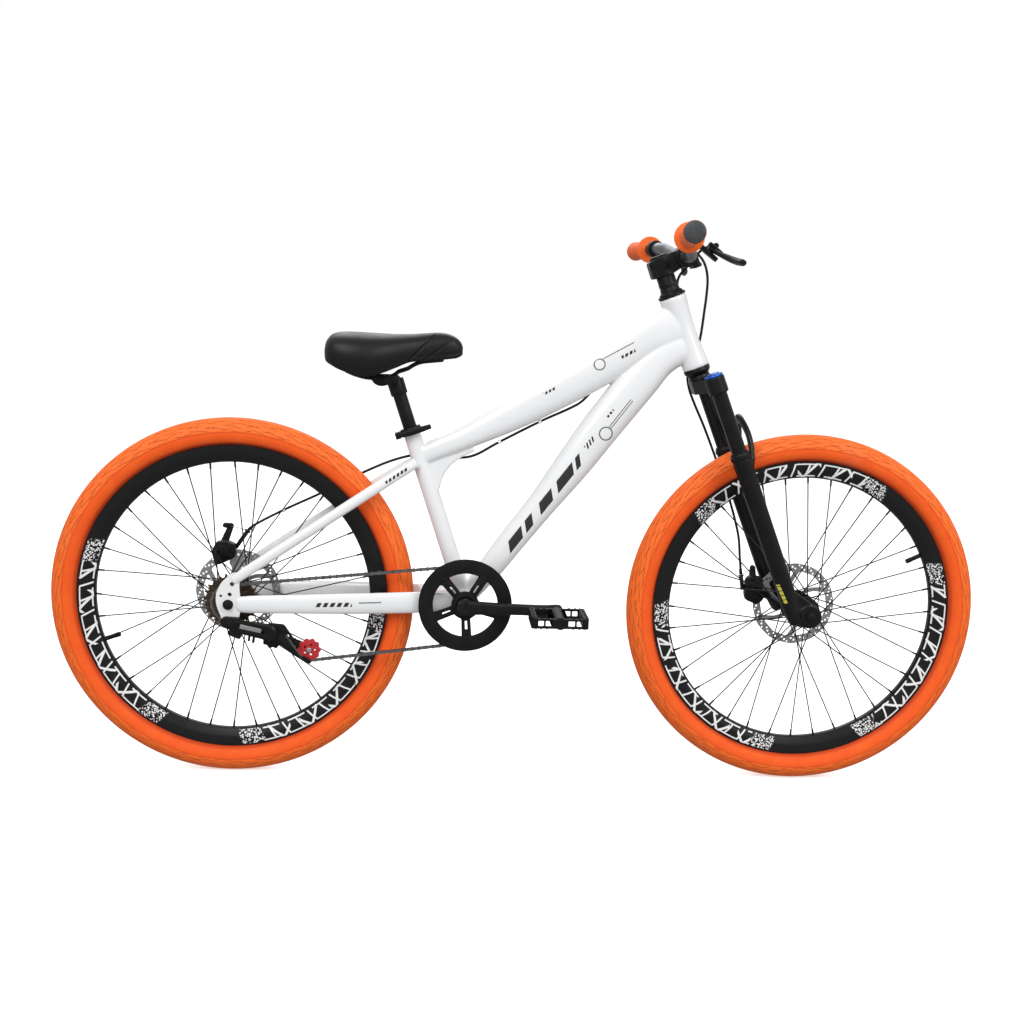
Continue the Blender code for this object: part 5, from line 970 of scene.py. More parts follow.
for side, word in SIDES:
    eye = BRACKET + np.array([-side * 0.165, 0, 0])
    centre = eye + LEFTWARDS * side * 0.146
    level, upright = ((1, 0, 0), (0, 1, 0), (0, 0, 1)), ((0, 0, -1), (0, 1, 0), (1, 0, 0))
    axes = np.array(level if side < 0 else upright, float)
    shells = []
    for way in (1, -1):
        edge = [(way * (0.0512 if i % 2 else 0.0478), way * (i / 9 - 1) * 0.04) for i in range(19)]
        edge += [(way * 0.041, way * 0.0435), (way * 0.041, way * -0.0435)]
        shells.append(plate(edge, (), -0.01, 0.01, centre, axes))
        wall = rounded(block(0, 0.043, 0.0088), 0.003)
        gaps = [rounded(block(x, half, 0.005), 0.0015)
                for x, half in ((-0.034, 0.005), (-0.02, 0.006), (0.02, 0.006), (0.034, 0.005))]
        low, high = sorted((way * 0.0375, way * 0.0438))
        shells.append(plate(wall, gaps, -high, -low, centre, axes[[0, 2, 1]] * ((1,), (1,), (-1,))))
        for x in (-0.0125, 0.0125):
            shells.append(plate(block(x, 0.0022, 0.04), (), -0.008, 0.008, centre, axes))
        for t in (-0.032, -0.016, 0.0, 0.016, 0.032):
            for up in (-1, 1):
                at = centre + np.array([way * 0.0455, t, up * 0.009]) @ axes
                shells.append(turned([(0, 0.0022), (0.002, 0.0019), (0.0027, 0.001)], at, axes[2] * up, 10))
        for x in (-0.034, -0.023, 0.023, 0.034):
            for up in (-1, 1):
                at = centre + np.array([x, way * 0.0406, up * 0.0084]) @ axes
                shells.append(turned([(0, 0.0024), (0.0012, 0.0022), (0.002, 0.001)], at, axes[2] * up, 8))
    shells.append(turned([(-0.044, 0.007), (-0.044, 0.0108), (-0.04, 0.0115), (-0.02, 0.0108),
                          (0.02, 0.0108), (0.04, 0.0115), (0.0438, 0.0108), (0.044, 0.007)],
                         centre, LEFTWARDS * side, 36, True))
    piece(word + "_pedal_cage", shells, moulded, word + "_pedal_body", [word + "_pedal"], 35, 0.0003)


# Chainring and guard
# A steel ring of 36 teeth is riveted to the right crank, and a black guard with five slotted arms covers
# it from outside, so that the teeth hardly show.


def sector(inner, outer, middle, half_in, half_out, steps=10):
    """A window between two radii, centred on a turn: an inner arc out and an outer arc back."""
    a = np.linspace(-1, 1, steps)
    inward = np.stack([inner * np.cos(middle + half_in * a), inner * np.sin(middle + half_in * a)], 1)
    outward = np.stack([outer * np.cos(middle - half_out * a), outer * np.sin(middle - half_out * a)], 1)
    return np.vstack([inward, outward])


ring_holes = [circle(0.0165, 40)]
guard_holes = [circle(0.0165, 40)]
arm_turns = [radians(58 + 72 * k) for k in range(5)]
for middle in arm_turns:
    ring_holes.append(sector(0.025, 0.0605, middle + radians(36), 0.4, 0.5))
    guard_holes.append(rounded(sector(0.0262, 0.0605, middle + radians(36), 0.3, 0.475), 0.003, 3))
    guard_holes.append(sector(0.029, 0.045, middle, 0.07, 0.05, 5))
    ring_holes.append(sector(0.027, 0.047, middle, 0.075, 0.055, 5))
ring_plate = plate(toothed(36), ring_holes, RING_Y - 0.001, RING_Y + 0.001, BRACKET)
piece("toothed_chainring", [ring_plate], satin, "cranks", ["chainring"], 30)
guard_y = -0.056
shells = [plate(circle(0.064, 120), guard_holes, guard_y - 0.0011, guard_y + 0.0009, BRACKET),
          turned([(guard_y + 0.001, 0.06), (guard_y - 0.0013, 0.0602), (guard_y - 0.0016, 0.0612),
                  (guard_y - 0.0016, 0.0845), (guard_y - 0.0012, 0.086), (guard_y - 0.0002, 0.0868),
                  (guard_y + 0.001, 0.0869)], BRACKET, steps=144, loop=True),
          turned([(guard_y + 0.0009, 0.0166), (guard_y - 0.005, 0.0166), (guard_y - 0.0052, 0.02),
                  (guard_y - 0.0012, 0.0235), (guard_y + 0.0009, 0.0235)], BRACKET, steps=72, loop=True)]
for a in arm_turns:
    at = BRACKET + np.array([0.062 * cos(a), guard_y - 0.001, 0.062 * sin(a)])
    shells.append(turned([(0, 0.0034), (0.0012, 0.0034), (0.0018, 0.0024)], at, -LEFTWARDS, 20))
piece("guard_disc", shells, moulded, "cranks", ["chain_guard"], 30, 0.0003)


# Chain
# A half-inch roller chain of oiled grey steel: pairs of waisted plates, outer and inner in turn, joined by
# pins through rollers. It runs from the second cog over the ring and back round the two pulleys.

COG_Y = -0.0565
GUIDE = np.array([-0.459, COG_Y, 0.273])
TENSION = np.array([-0.3925, COG_Y, 0.2505])
PULLEY_TEETH = 10
chain_steel = Finish("oiled_chain_steel", "bare_steel", (0.2, 0.195, 0.185), 0.35, metallic=0.95)
chain_steel.mottle((180, 4), (0.45, 0.7), 0.7, (0.07, 0.062, 0.055))
chain_steel.mottle((420, 3), (0.62, 0.75), 0.5, (0.42, 0.41, 0.4))
chain_steel.haze((300, 3), 0.3, 0.24).grit(1000, 2, 0.00004)


def round_wheels(wheels):
    """The line of a chain: an arc on each wheel and a straight run, tangent to both, to the next."""
    line, count = [], len(wheels)

    def leaving(first, second):
        across = second[0] - first[0]
        dx, dz = float(across[0]), float(across[2])
        length = sqrt(dx * dx + dz * dz)
        a = (second[1] * second[2] - first[1] * first[2]) / length
        b = sqrt(1 - a * a)
        return a * dx / length - b * dz / length, a * dz / length + b * dx / length

    for i, (centre, radius, way, y) in enumerate(wheels):
        near, far = leaving(wheels[i - 1], wheels[i]), leaving(wheels[i], wheels[(i + 1) % count])
        start = np.arctan2(-way * near[1], -way * near[0])
        sweep = (np.arctan2(-way * far[1], -way * far[0]) - start) * way % (2 * pi) * way
        a = start + sweep * np.linspace(0, 1, max(4, ceil(abs(sweep) / radians(3))))
        line.append(np.stack([centre[0] + radius * np.cos(a), np.full(len(a), y),
                              centre[2] + radius * np.sin(a)], 1))
    return np.vstack(line)


line = round_wheels([(AXLES["rear"], pitch_radius(16), -1, COG_Y),
                     (BRACKET, pitch_radius(36), -1, RING_Y),
                     (TENSION, pitch_radius(PULLEY_TEETH), -1, COG_Y),
                     (GUIDE, pitch_radius(PULLEY_TEETH), 1, COG_Y)])
closed = np.vstack([line, line[:1]])
run = np.concatenate([[0], np.cumsum(np.linalg.norm(np.diff(closed, axis=0), axis=1))])
links = 2 * round(run[-1] / PITCH / 2)
pins = np.stack([np.interp(np.arange(links) * run[-1] / links, run, closed[:, k]) for k in range(3)], 1)
a = np.linspace(0, 2 * pi, 10, endpoint=False)
shells = []
for k, (here, there) in enumerate(zip(pins, np.roll(pins, -1, 0))):
    way = (there - here) / np.linalg.norm(there - here)
    up = np.cross(way, LEFTWARDS)
    wide = np.linalg.norm(there - here)
    ends = np.where(np.abs(np.cos(a)) > 0.4, np.sign(np.cos(a)), 0)
    edge = np.stack([wide / 2 * (1 + ends) + 0.0034 * np.cos(a) * np.abs(ends),
                     np.where(ends == 0, 0.0026, 0.0036) * np.sin(a)], 1)
    near = 0.0026 if k % 2 else 0.0017
    for low in (-near - 0.0008, near):
        shells.append(plate(edge, (), low, low + 0.0008, here, (way, up, LEFTWARDS)))
    shells.append(rod(here - LEFTWARDS * 0.0036, here + LEFTWARDS * 0.0036, 0.0018, 8))
    shells.append(rod(here - LEFTWARDS * 0.0016, here + LEFTWARDS * 0.0016, 0.0037, 10))
piece("roller_chain", shells, chain_steel, "frame", ["chain"], 35)


# Rear derailleur
# A black body on the hanger, with a spring inside its two links, and a cage that carries two toothed
# pulleys on bolts, the upper one black and the lower one red. The cage keeps the chain tight.

HANGER = np.array([-0.533, 0.0, 0.302])
KNUCKLE = np.array([-0.461, 0.0, 0.285])

body_y = -DROP_OUT - 0.0063
hang = rod((HANGER[0], body_y - 0.0155, HANGER[2]), (HANGER[0], body_y, HANGER[2]), 0.0088, 36)
shells = [plate(round_discs([(-0.542, 0.306, 0.009), (-0.516, 0.296, 0.011), (-0.52, 0.308, 0.006)]),
                (), body_y - 0.013, body_y - 0.0018),
          plate(round_discs([(-0.523, 0.305, 0.0052), (-0.463, 0.2955, 0.0056)]), (), body_y - 0.014,
                body_y - 0.0105), plate(round_discs([(-0.526, 0.293, 0.0052), (-0.47, 0.28, 0.0052)]),
                                        (), body_y - 0.0128, body_y - 0.0095),
          plate(round_discs([(-0.52, 0.299, 0.009), (-0.466, 0.287, 0.009)]), (), body_y - 0.0085,
                body_y - 0.0035), plate(round_discs([(-0.533, 0.286, 0.005), (-0.518, 0.28, 0.005)]),
                                        (), body_y - 0.011, body_y - 0.004), hang,
          turned([(0, 0.006), (0.0012, 0.006), (0.0016, 0.004)], (HANGER[0], body_y - 0.015, HANGER[2]),
                 -LEFTWARDS, 6),
          turned([(0.0, 0.0118), (0.023, 0.0118), (0.024, 0.0105)], (KNUCKLE[0], -0.0638, KNUCKLE[2]),
                 -LEFTWARDS, 40),
          rod((-0.49, body_y - 0.008, 0.282), (-0.492, body_y - 0.008, 0.268), 0.0024, 16),
          rod((-0.498, body_y - 0.008, 0.284), (-0.5, body_y - 0.008, 0.271), 0.0022, 16)]
for x, z in ((-0.523, 0.305), (-0.463, 0.2955), (-0.526, 0.293), (-0.47, 0.28)):
    shells.append(turned([(0, 0.0032), (0.0008, 0.003), (0.0012, 0.002)], (x, body_y - 0.0138, z),
                         -LEFTWARDS, 16))
piece("derailleur_links", shells, moulded, "frame", ["derailleur_body"], 30, 0.0005)
badge = [(-0.0195, -0.004), (0.0195, -0.004), (0.0195, 0.004), (-0.0195, 0.004)]
tilt = (cos(-0.21), 0, sin(-0.21))
plain = plate(rounded(badge, 0.0012, 3), (), -0.0006, 0.0006, (-0.496, body_y - 0.0146, 0.2955),
              (tilt, (0.208, 0, 0.978), LEFTWARDS))
piece("plain_silver_plate", [plain], steel, "frame", (), 30, 0.0002)
cage_out, cage_in = COG_Y - 0.0052, COG_Y + 0.0052
outer_edge = round_discs([(-0.461, 0.287, 0.014), (-0.443, 0.291, 0.0085), (-0.4085, 0.2465, 0.0055),
                          (-0.4025, 0.2375, 0.005)])
foot = round_discs([(-0.4025, 0.2355, 0.0036), (-0.3915, 0.2285, 0.0034)])
shells = [plate(outer_edge, [circle(0.0042, 16, (-0.433, 0.276)), circle(0.0036, 16, (-0.419, 0.27))],
                cage_out - 0.0014, cage_out),
          plate(foot, (), cage_out - 0.001, cage_in + 0.001),
          plate(round_discs([(GUIDE[0], GUIDE[2], 0.009), (TENSION[0], TENSION[2], 0.009)]),
                [circle(0.004, 16, (-0.43, 0.263))], cage_in, cage_in + 0.0014)]
bolts = []
for at in (GUIDE, TENSION):
    shells.append(rod((at[0], cage_out + 0.001, at[2]), (at[0], cage_in + 0.001, at[2]), 0.0025, 16))
    bolts.append(turned([(0, 0.0046), (0.0016, 0.0046), (0.0022, 0.0036)],
                        (at[0], cage_out + 0.0012, at[2]), -LEFTWARDS, 18))
piece("pulley_cage", shells, satin, "frame", ["derailleur_cage"], 30, 0.0003)
piece("pulley_bolts", bolts, steel, "frame", (), 30)
red = Finish("red_pulley_plastic", "red_plastic", (0.42, 0.012, 0.018), 0.35)
red.mottle((200, 3), (0.4, 0.7), 0.5, (0.62, 0.03, 0.035))
red.mottle((90, 4), (0.6, 0.8), 0.5, (0.09, 0.012, 0.012))
red.haze((300, 3), 0.25, 0.25).grit(1100, 2, 0.00005)
for name, at in (("guide", GUIDE), ("tension", TENSION)):
    holes = [circle(0.0034, 20)] + [circle(0.0022, 12, (0.0095 * cos(t), 0.0095 * sin(t)))
                                    for t in np.arange(5) * 2 * pi / 5]
    shells = [plate(waved(0.0202, 0.0014, PULLEY_TEETH, 120), holes, -0.0026, 0.0026, at),
              turned([(-0.003, 0.0033), (-0.003, 0.0062), (0.003, 0.0062), (0.003, 0.0033)], at,
                     LEFTWARDS, 28, True)]
    look = moulded if name == "guide" else red
    piece(name + "_pulley_wheel", shells, look, name + "_pulley_body", [name + "_pulley"], 30, 0.0002)


# Brake calipers
# Each is a cast black body round the rotor, with pads on both sides. The cable pulls a short arm, which
# turns a screw against the outer pad. Two bolts hold the body to the fork or to the left drop-out.


def caliper_shells(edge, low, high, rotor_y, axle, pivot, stop, bolts):
    """Two stepped halves of a body either side of the rotor's slot, with a bridge over it, a dial,
    a boss, a cable stop and bolts."""
    axle, edge = np.asarray(axle), np.asarray(edge)
    step = rounded(pivot[[0, 2]] + (edge - pivot[[0, 2]]) * 0.66, 0.003)
    shells = [plate(rounded(edge, 0.004), (), low + 0.005, rotor_y - 0.0022),
              plate(step, (), low + 0.001, low + 0.0056),
              plate(rounded(edge, 0.004), (), rotor_y + 0.0022, high - 0.004),
              plate(step, (), high - 0.0046, high)]
    shells.append(plate(waved(0.01, 0.0005, 16, 96), [circle(0.004, 6)], low - 0.0028, low + 0.0014,
                        (pivot[0], 0, pivot[2])))
    shells.append(turned([(high - 0.003, 0.0125), (high + 0.0002, 0.0125), (high + 0.0008, 0.011)],
                         (pivot[0], 0, pivot[2]), LEFTWARDS, 36))
    shells.append(turned([(high, 0.0033), (high + 0.0062, 0.0033), (high + 0.0064, 0.0048),
                          (high + 0.0076, 0.004)], (pivot[0], 0, pivot[2]), LEFTWARDS, 18))
    shells.append(rod(stop[0], stop[1], 0.004, 20))
    shells.append(rod(stop[1], np.asarray(stop[1]) * 0.92 + np.asarray(stop[0]) * 0.08, 0.0056, 24))
    far = [p for p in edge if np.hypot(p[0] - axle[0], p[1] - axle[2]) > 0.0835]
    shells.append(plate(far, (), rotor_y - 0.003, rotor_y + 0.003))
    for x, z in bolts:
        shells.append(turned([(high - 0.005, 0.0042), (high + 0.003, 0.0042), (high + 0.0036, 0.0034)],
                             (x, 0, z), LEFTWARDS, 6))
        shells.append(turned([(low + 0.0012, 0.004), (low + 0.006, 0.0044)], (x, 0, z), LEFTWARDS, 20))
    return shells


FRONT_ARM = np.array([0.46, 0, 0.366])
REAR_ARM = np.array([-0.574, 0, 0.412])
front_edge = [(0.442, 0.383), (0.44, 0.354), (0.443, 0.342), (0.464, 0.334), (0.474, 0.34),
              (0.479, 0.348), (0.4735, 0.386), (0.462, 0.39), (0.45, 0.39)]
rear_edge = [(-0.588, 0.415), (-0.584, 0.393), (-0.576, 0.386), (-0.548, 0.399), (-0.543, 0.408),
             (-0.545, 0.426), (-0.562, 0.433), (-0.58, 0.43)]
front_places = ((0.438, 0.048, 0.36), (0.435, 0.056, 0.388)), [(0.468, 0.344), (0.467, 0.383)]
rear_places = ((-0.545, 0.06, 0.418), (-0.522, 0.06, 0.452)), [(-0.552, 0.406), (-0.564, 0.427)]
for end, rider, edge, low, high, pivot, (stop, bolts) in (
        ("front", "fork_slider", front_edge, 0.0312, 0.0555, FRONT_ARM, front_places),
        ("rear", "frame", rear_edge, 0.0392, 0.0672, REAR_ARM, rear_places)):
    shells = caliper_shells(edge, low, high, ROTOR[end], AXLES[end], pivot, stop, bolts)
    piece(end + "_caliper_body", shells, satin, rider, [end + "_caliper"], 30, 0.0006)
for end, pivot, tip, face, reach in (("front", FRONT_ARM, (0.458, 0.402), 0.0557, 0.0),
                                     ("rear", REAR_ARM, (-0.556, 0.458), 0.0674, 0.011)):
    edge = round_discs([(pivot[0], pivot[2], 0.0084), (*tip, 0.0054)])
    arm = plate(edge, [circle(0.004, 20, (pivot[0], pivot[2])), circle(0.002, 12, tip)], face + 0.0014,
                face + 0.0058)
    hook = plate(round_discs([(*tip, 0.005), (tip[0] - reach, tip[1] + 0.001, 0.0046)]), (),
                 face + 0.001, face + 0.007)
    piece(end + "_pull_arm", [arm, hook], satin, end + "_arm", [end + "_caliper_arm"], 30, 0.0005)


# Seatpost, collar and quick release
# A black aluminium post slides in the seat tube. A slotted collar closes the tube on it when the cam
# lever is shut, and a nut on the far side sets how tight.

POST_TOP = 0.431
post = turned([(0.1705, 0.0122), (0.1715, 0.01265), (POST_TOP - 0.001, 0.01265), (POST_TOP, 0.012)],
              BRACKET, SEAT_UP, 56)
piece("sliding_seatpost", [post], black_gloss, "saddle_post", ["seatpost"], 30)
COLLAR_LOW, COLLAR_MID = SEAT_LENGTH - 0.013, SEAT_LENGTH - 0.0065
seat_axes = (SEAT_FORE, LEFTWARDS, SEAT_UP)
shells = [turned([(COLLAR_LOW, 0.0162), (COLLAR_LOW, 0.019), (COLLAR_LOW + 0.0007, 0.0196),
                  (SEAT_LENGTH - 0.0006, 0.0196), (SEAT_LENGTH + 0.001, 0.0188),
                  (SEAT_LENGTH + 0.001, 0.013), (SEAT_LENGTH + 0.0002, 0.013),
                  (SEAT_LENGTH + 0.0002, 0.0162)], BRACKET, SEAT_UP, 56, True)]
for left in (-1, 1):
    ear = rounded([(-0.03, left * 0.002), (-0.016, left * 0.002), (-0.016, left * 0.011),
                   (-0.03, left * 0.011)], 0.003)
    shells.append(plate(ear, (), COLLAR_LOW + 0.0012, SEAT_LENGTH - 0.001, BRACKET, seat_axes))
bolt = on_seat(COLLAR_MID, -0.024)
shells.append(turned([(0.011, 0.0045), (0.016, 0.0048), (0.017, 0.0038)], bolt, LEFTWARDS, 24))
shells.append(rod(bolt - LEFTWARDS * 0.011, bolt + LEFTWARDS * 0.011, 0.0024, 14))
piece("seat_collar", shells, satin, "frame", ["seat_clamp_collar"], 30, 0.0003)
release = on_seat(COLLAR_MID, -0.025, -0.0172)
row = [(-0.025, -0.0172, 0.004), (-0.014, -0.0262, 0.0046), (0.002, -0.029, 0.005), (0.018, -0.028, 0.0054),
       (0.038, -0.025, 0.0042)]
cam = [(on_seat(COLLAR_MID, a, b), 0.0021, c) for a, b, c in row]
shells = [lofted(cam, 8, 24, 2.8, np.cross(SEAT_FORE, SEAT_UP) + SEAT_FORE * 0.3),
          turned([(-0.0058, 0.0044), (-0.0052, 0.005), (0.0052, 0.005), (0.0058, 0.0044)], release,
                 SEAT_UP, 28)]
piece("cam_lever", shells, satin, "quick_release", ["quick_release_lever"], 40)


# Saddle
# Foam on a plastic base under a stretched cover of black grained vinyl, crowned on top, full at the back
# and narrow at the nose, with sewn panels on its flanks. Two bent steel rails hang it in a clamp.

STATIONS = [(-0.3735, 0.04, 0.808, 0.793), (-0.3705, 0.056, 0.82, 0.783), (-0.361, 0.068, 0.8305, 0.7765),
            (-0.345, 0.075, 0.835, 0.7685), (-0.32, 0.078, 0.8358, 0.7605), (-0.295, 0.076, 0.8352, 0.7572),
            (-0.27, 0.068, 0.8345, 0.7635), (-0.245, 0.055, 0.8342, 0.7735), (-0.22, 0.043, 0.835, 0.784),
            (-0.195, 0.034, 0.837, 0.7866), (-0.17, 0.028, 0.839, 0.789), (-0.15, 0.024, 0.837, 0.7915),
            (-0.136, 0.0195, 0.831, 0.7935), (-0.1275, 0.014, 0.823, 0.797), (-0.1235, 0.008, 0.815, 0.801)]
FLANK = [(0.0, 1.0), (0.3, 0.99), (0.58, 0.94), (0.8, 0.84), (0.94, 0.68), (1.0, 0.47), (0.985, 0.24),
         (0.93, 0.06), (0.86, 0.0), (0.78, 0.2)]
SEAM_HIGH = 0.8
SEAM = (0.209, 0.95)
SECOND_SEAM = (0.179, 1.25)
vinyl = Finish("grained_black_vinyl", "black_vinyl", (0.006, 0.006, 0.0065), 0.42, specular_ior_level=0.24)
grain = vinyl.cells(620) * 0.6 + vinyl.cells(1300) * 0.4
vinyl.mottle((18, 5), (0.45, 0.85), 0.5, (0.012, 0.012, 0.013))
vinyl.tint(grain.ramp(0.55, 0.2) * 0.35, (0.006, 0.006, 0.006))
# Each seam is a sunken groove, also darkened with painted shade.
for (at, lean_back), deep in ((SEAM, 0.0011), (SECOND_SEAM, 0.0007)):
    seam_and_shade = (vinyl.x + at - (vinyl.z - SEAM_HIGH) * lean_back).within(0, 0.0011, 0.0012)
    seam_and_shade = seam_and_shade * vinyl.y.then("ABSOLUTE").ramp(0.014, 0.018)
    vinyl.tint(seam_and_shade * 0.7, (0.002, 0.002, 0.002)).relief(seam_and_shade * -1.0, deep)
vinyl.haze((40, 4), 0.22, 0.28).relief(grain, 0.00016).grit(60, 4, 0.0004)
rows = eased(STATIONS, 14)
side_curve = eased(FLANK, 5)
u = np.concatenate([side_curve[:, 0], -side_curve[-1:0:-1, 0]])
v = np.concatenate([side_curve[:, 1], side_curve[-1:0:-1, 1]])
x, wide, top, bottom = (rows[:, k][:, None] for k in range(4))
depth = top - bottom
rise = np.minimum(0.008, depth * 0.35)
across = wide * u
height = bottom + depth * np.clip(v, 0, 1)
under = (np.abs(u) < 0.86) & (v < 0.25) & (np.abs(u) > 0.5)
height = np.where(under, bottom + rise * (0.86 - np.abs(u)) / 0.08, height)
dip = 0.0022 * np.exp(-(across / 0.01) ** 2) * np.exp(-((x + 0.3) / 0.055) ** 2)
height -= dip * (v > 0.8)
flank_only = (v > 0.03) & (v < 0.9) & (np.abs(u) > 0.5)
first, second = (x + at - (height - SEAM_HIGH) * lean_back for at, lean_back in (SEAM, SECOND_SEAM))
groove = (0.002 * np.exp(-(first / 0.0021) ** 2) + 0.0012 * np.exp(-(second / 0.0018) ** 2)) * flank_only
groove = groove + 0.0012 * np.exp(-((height - bottom - 0.0085) / 0.0013) ** 2) * flank_only
across = across * (1 - groove / np.maximum(wide, 0.02))
cover = np.stack([np.broadcast_to(x, across.shape), across, height], -1)
cushion = piece("saddle_cover", [skin(cover)], vinyl, "saddle_post", ["saddle_cushion"], 60)
thread = Finish("grey_black_thread", "black_vinyl", (0.045, 0.045, 0.047), 0.7)
thread.mottle((900, 2), (0.4, 0.7), 0.6, (0.02, 0.02, 0.021)).grit(2600, 2, 0.0001)
stitches = []
for side in (-1, 1):
    for k in range(15):
        z = 0.793 + 0.0355 * k / 14
        sx = -SEAM[0] + (z - SEAM_HIGH) * SEAM[1] + 0.003
        i = int(np.abs(rows[:, 0] - sx).argmin())
        w, hi, lo = rows[i, 1], rows[i, 2], rows[i, 3]
        share = float(np.interp((z - lo) / (hi - lo), side_curve[::-1, 1][5:], side_curve[::-1, 0][5:]))
        at = np.array([sx, side * (w * share - 0.0001), z])
        stitches.append(turned([(-0.0012, 0.0002), (-0.0009, 0.0005), (0.0009, 0.0005),
                                (0.0012, 0.0002)], at, (0.69, 0, 0.72), 6))
piece("saddle_stitches", stitches, thread, "saddle_post")
x, wide, top, bottom = rows[14:-14:2].T
roof = bottom + np.minimum(0.008, (top - bottom) * 0.35)
base_rings = np.stack([np.stack([x, s * wide * 0.74, roof - z], 1)
                       for s, z in ((-1, 0.0003), (1, 0.0003), (0.97, 0.003), (-0.97, 0.003))], 1)
piece("saddle_shell", [skin(base_rings)], moulded, "saddle_post", ["saddle_base"], 30)
RAIL = [(-0.335, 0.026, 0.7648), (-0.318, 0.0235, 0.758), (-0.295, 0.022, 0.753), (-0.265, 0.022, 0.753),
        (-0.25, 0.022, 0.758), (-0.24, 0.022, 0.7655), (-0.224, 0.0212, 0.7715), (-0.212, 0.02, 0.779),
        (-0.198, 0.0175, 0.7845), (-0.175, 0.013, 0.7875), (-0.164, 0.007, 0.7885), (-0.161, 0.0, 0.7888)]
rail = np.array(RAIL + [(x, -y, z) for x, y, z in reversed(RAIL[:-1])])
piece("bent_rails", [swept(eased(rail, 5), 0.0034, 0.0034, 20, 2.0, (0, 0, 1))], satin, "saddle_post",
      ["saddle_rails"], 40)
clamp_edge = [(-0.287, 0.759), (-0.289, 0.749), (-0.28, 0.7405), (-0.269, 0.7385), (-0.256, 0.7425),
              (-0.24, 0.746), (-0.236, 0.751), (-0.242, 0.759)]
shells = [plate(rounded(clamp_edge, 0.005), (), -0.0288, -0.013),
          plate(rounded(clamp_edge, 0.005), (), 0.013, 0.0288),
          plate(rounded(round_discs([(-0.264, 0.748, 0.0075), (-0.246, 0.75, 0.0075)]), 0.001), (),
                -0.014, 0.014),
          turned([(POST_TOP - 0.026, 0.0131), (POST_TOP - 0.026, 0.015), (POST_TOP - 0.024, 0.0157),
                  (POST_TOP + 0.003, 0.0157), (POST_TOP + 0.003, 0.0131)], BRACKET, SEAT_UP, 48, True)]
for side in (-1, 1):
    shells.append(turned([(0.0286, 0.0075), (0.0318, 0.0075), (0.0326, 0.0062)],
                         (-0.264, 0, 0.75), LEFTWARDS * side, 6))
    shells.append(turned([(0.0326, 0.004), (0.0352, 0.0038)], (-0.264, 0, 0.75), LEFTWARDS * side, 20))
piece("rail_clamp", shells, satin, "saddle_post", ["saddle_clamp"], 30, 0.0006)


# Brake cables
# Black plastic housings, 5 mm thick, with a steel wire inside and a metal ferrule on each end. The rear one
# hangs in a loop to a stop under the top tube and goes on to the left stay; the front one runs down
# behind the fork.

BARREL = 0.0262
adjuster = PIVOT + PIVOT_OUT * 0.002 + PIVOT_UP * 0.011 + LEFTWARDS * BARREL
LOOP_END = np.array([0.172, 0.034, 0.802])
loop_way = np.array([-0.048, -0.002, -0.033])
loop_way = loop_way / np.linalg.norm(loop_way)
left_adjuster = adjuster * MIRROR


def housing(points):
    """A round housing on a smooth line through its points."""
    line = eased(points, 7)
    return swept(line, 0.0024, 0.0024, 12, 2.0, (0.31, 0.42, 0.85))


def ferrule(at, way):
    """A metal end cap on a housing."""
    return turned([(0, 0.0027), (0.0006, 0.0032), (0.01, 0.0032), (0.0106, 0.0027)], at, way, 20)


loop = [adjuster, adjuster + LEFTWARDS * 0.014, (0.313, -0.07, 1.01), (0.317, -0.02, 1.011),
        (0.311, 0.018, 1.004), (0.296, 0.037, 0.981), (0.276, 0.038, 0.95), (0.285, 0.037, 0.9),
        (0.294, 0.036, 0.87), (0.282, 0.035, 0.846), (0.25, 0.034, 0.832), (0.21, 0.0335, 0.823),
        LOOP_END - loop_way * 0.0123, LOOP_END - loop_way * 0.0003]
cable = piece("rear_brake_housing_loop", [housing(loop)], moulded, None, ["rear_brake_cable_loop"], 60)
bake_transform(cable)
rear_line = [LOOP_END, LOOP_END + loop_way * 0.012, (0.135, 0.029, 0.757), (0.106, 0.012, 0.724),
             (0.08, 0.001, 0.708), (0.024, 0.0, 0.681), (-0.05, 0.0, 0.641), (-0.095, 0.005, 0.6145),
             (-0.128, 0.02, 0.607), (-0.16, 0.0265, 0.611), (-0.2, 0.033, 0.61), (-0.25, 0.041, 0.596),
             (-0.31, 0.05, 0.568), (-0.38, 0.057, 0.53), (-0.455, 0.06, 0.493), (-0.508, 0.06, 0.464),
             (-0.5215, 0.06, 0.4528)]
piece("rear_brake_housing", [housing(rear_line), ferrule(rear_line[-1], (0.0135, 0, 0.0112))],
      moulded, "frame", ["rear_brake_cable"], 60)
front_line = [left_adjuster, left_adjuster - LEFTWARDS * 0.014, (0.312, 0.088, 1.008), (0.323, 0.065, 0.996),
              (0.3306, 0.052, 0.978), (0.3347, 0.048, 0.954), (0.3337, 0.046, 0.924), (0.3312, 0.045, 0.896),
              (0.3272, 0.044, 0.8545), (0.3221, 0.044, 0.8261), on_head(0.008, 0.006, 0.047),
              on_head(-0.014, -0.012, 0.048), on_head(-0.04, -0.017, 0.05), on_head(-0.07, -0.016, 0.054),
              on_head(-0.12, -0.012, 0.058), on_head(-0.19, -0.01, 0.06), on_head(-0.27, -0.01, 0.062),
              on_head(-0.34, -0.016, 0.06), on_head(-0.385, -0.028, 0.057), (0.4349, 0.0563, 0.389)]
cable = piece("front_brake_housing", [housing(front_line)], moulded, None, ["front_brake_cable"], 60)
on_head(-0.045, -0.016, 0.05)
on_head(-0.3, -0.012, 0.061)
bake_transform(cable)
ends = [ferrule(adjuster, LEFTWARDS), ferrule(left_adjuster, -LEFTWARDS)]
piece("lever_ferrules", ends, satin, "steering", (), 40)
piece("front_caliper_ferrule", [ferrule(front_line[-1], np.asarray(front_line[-2]) - front_line[-1])],
      satin, "fork_slider", (), 40)
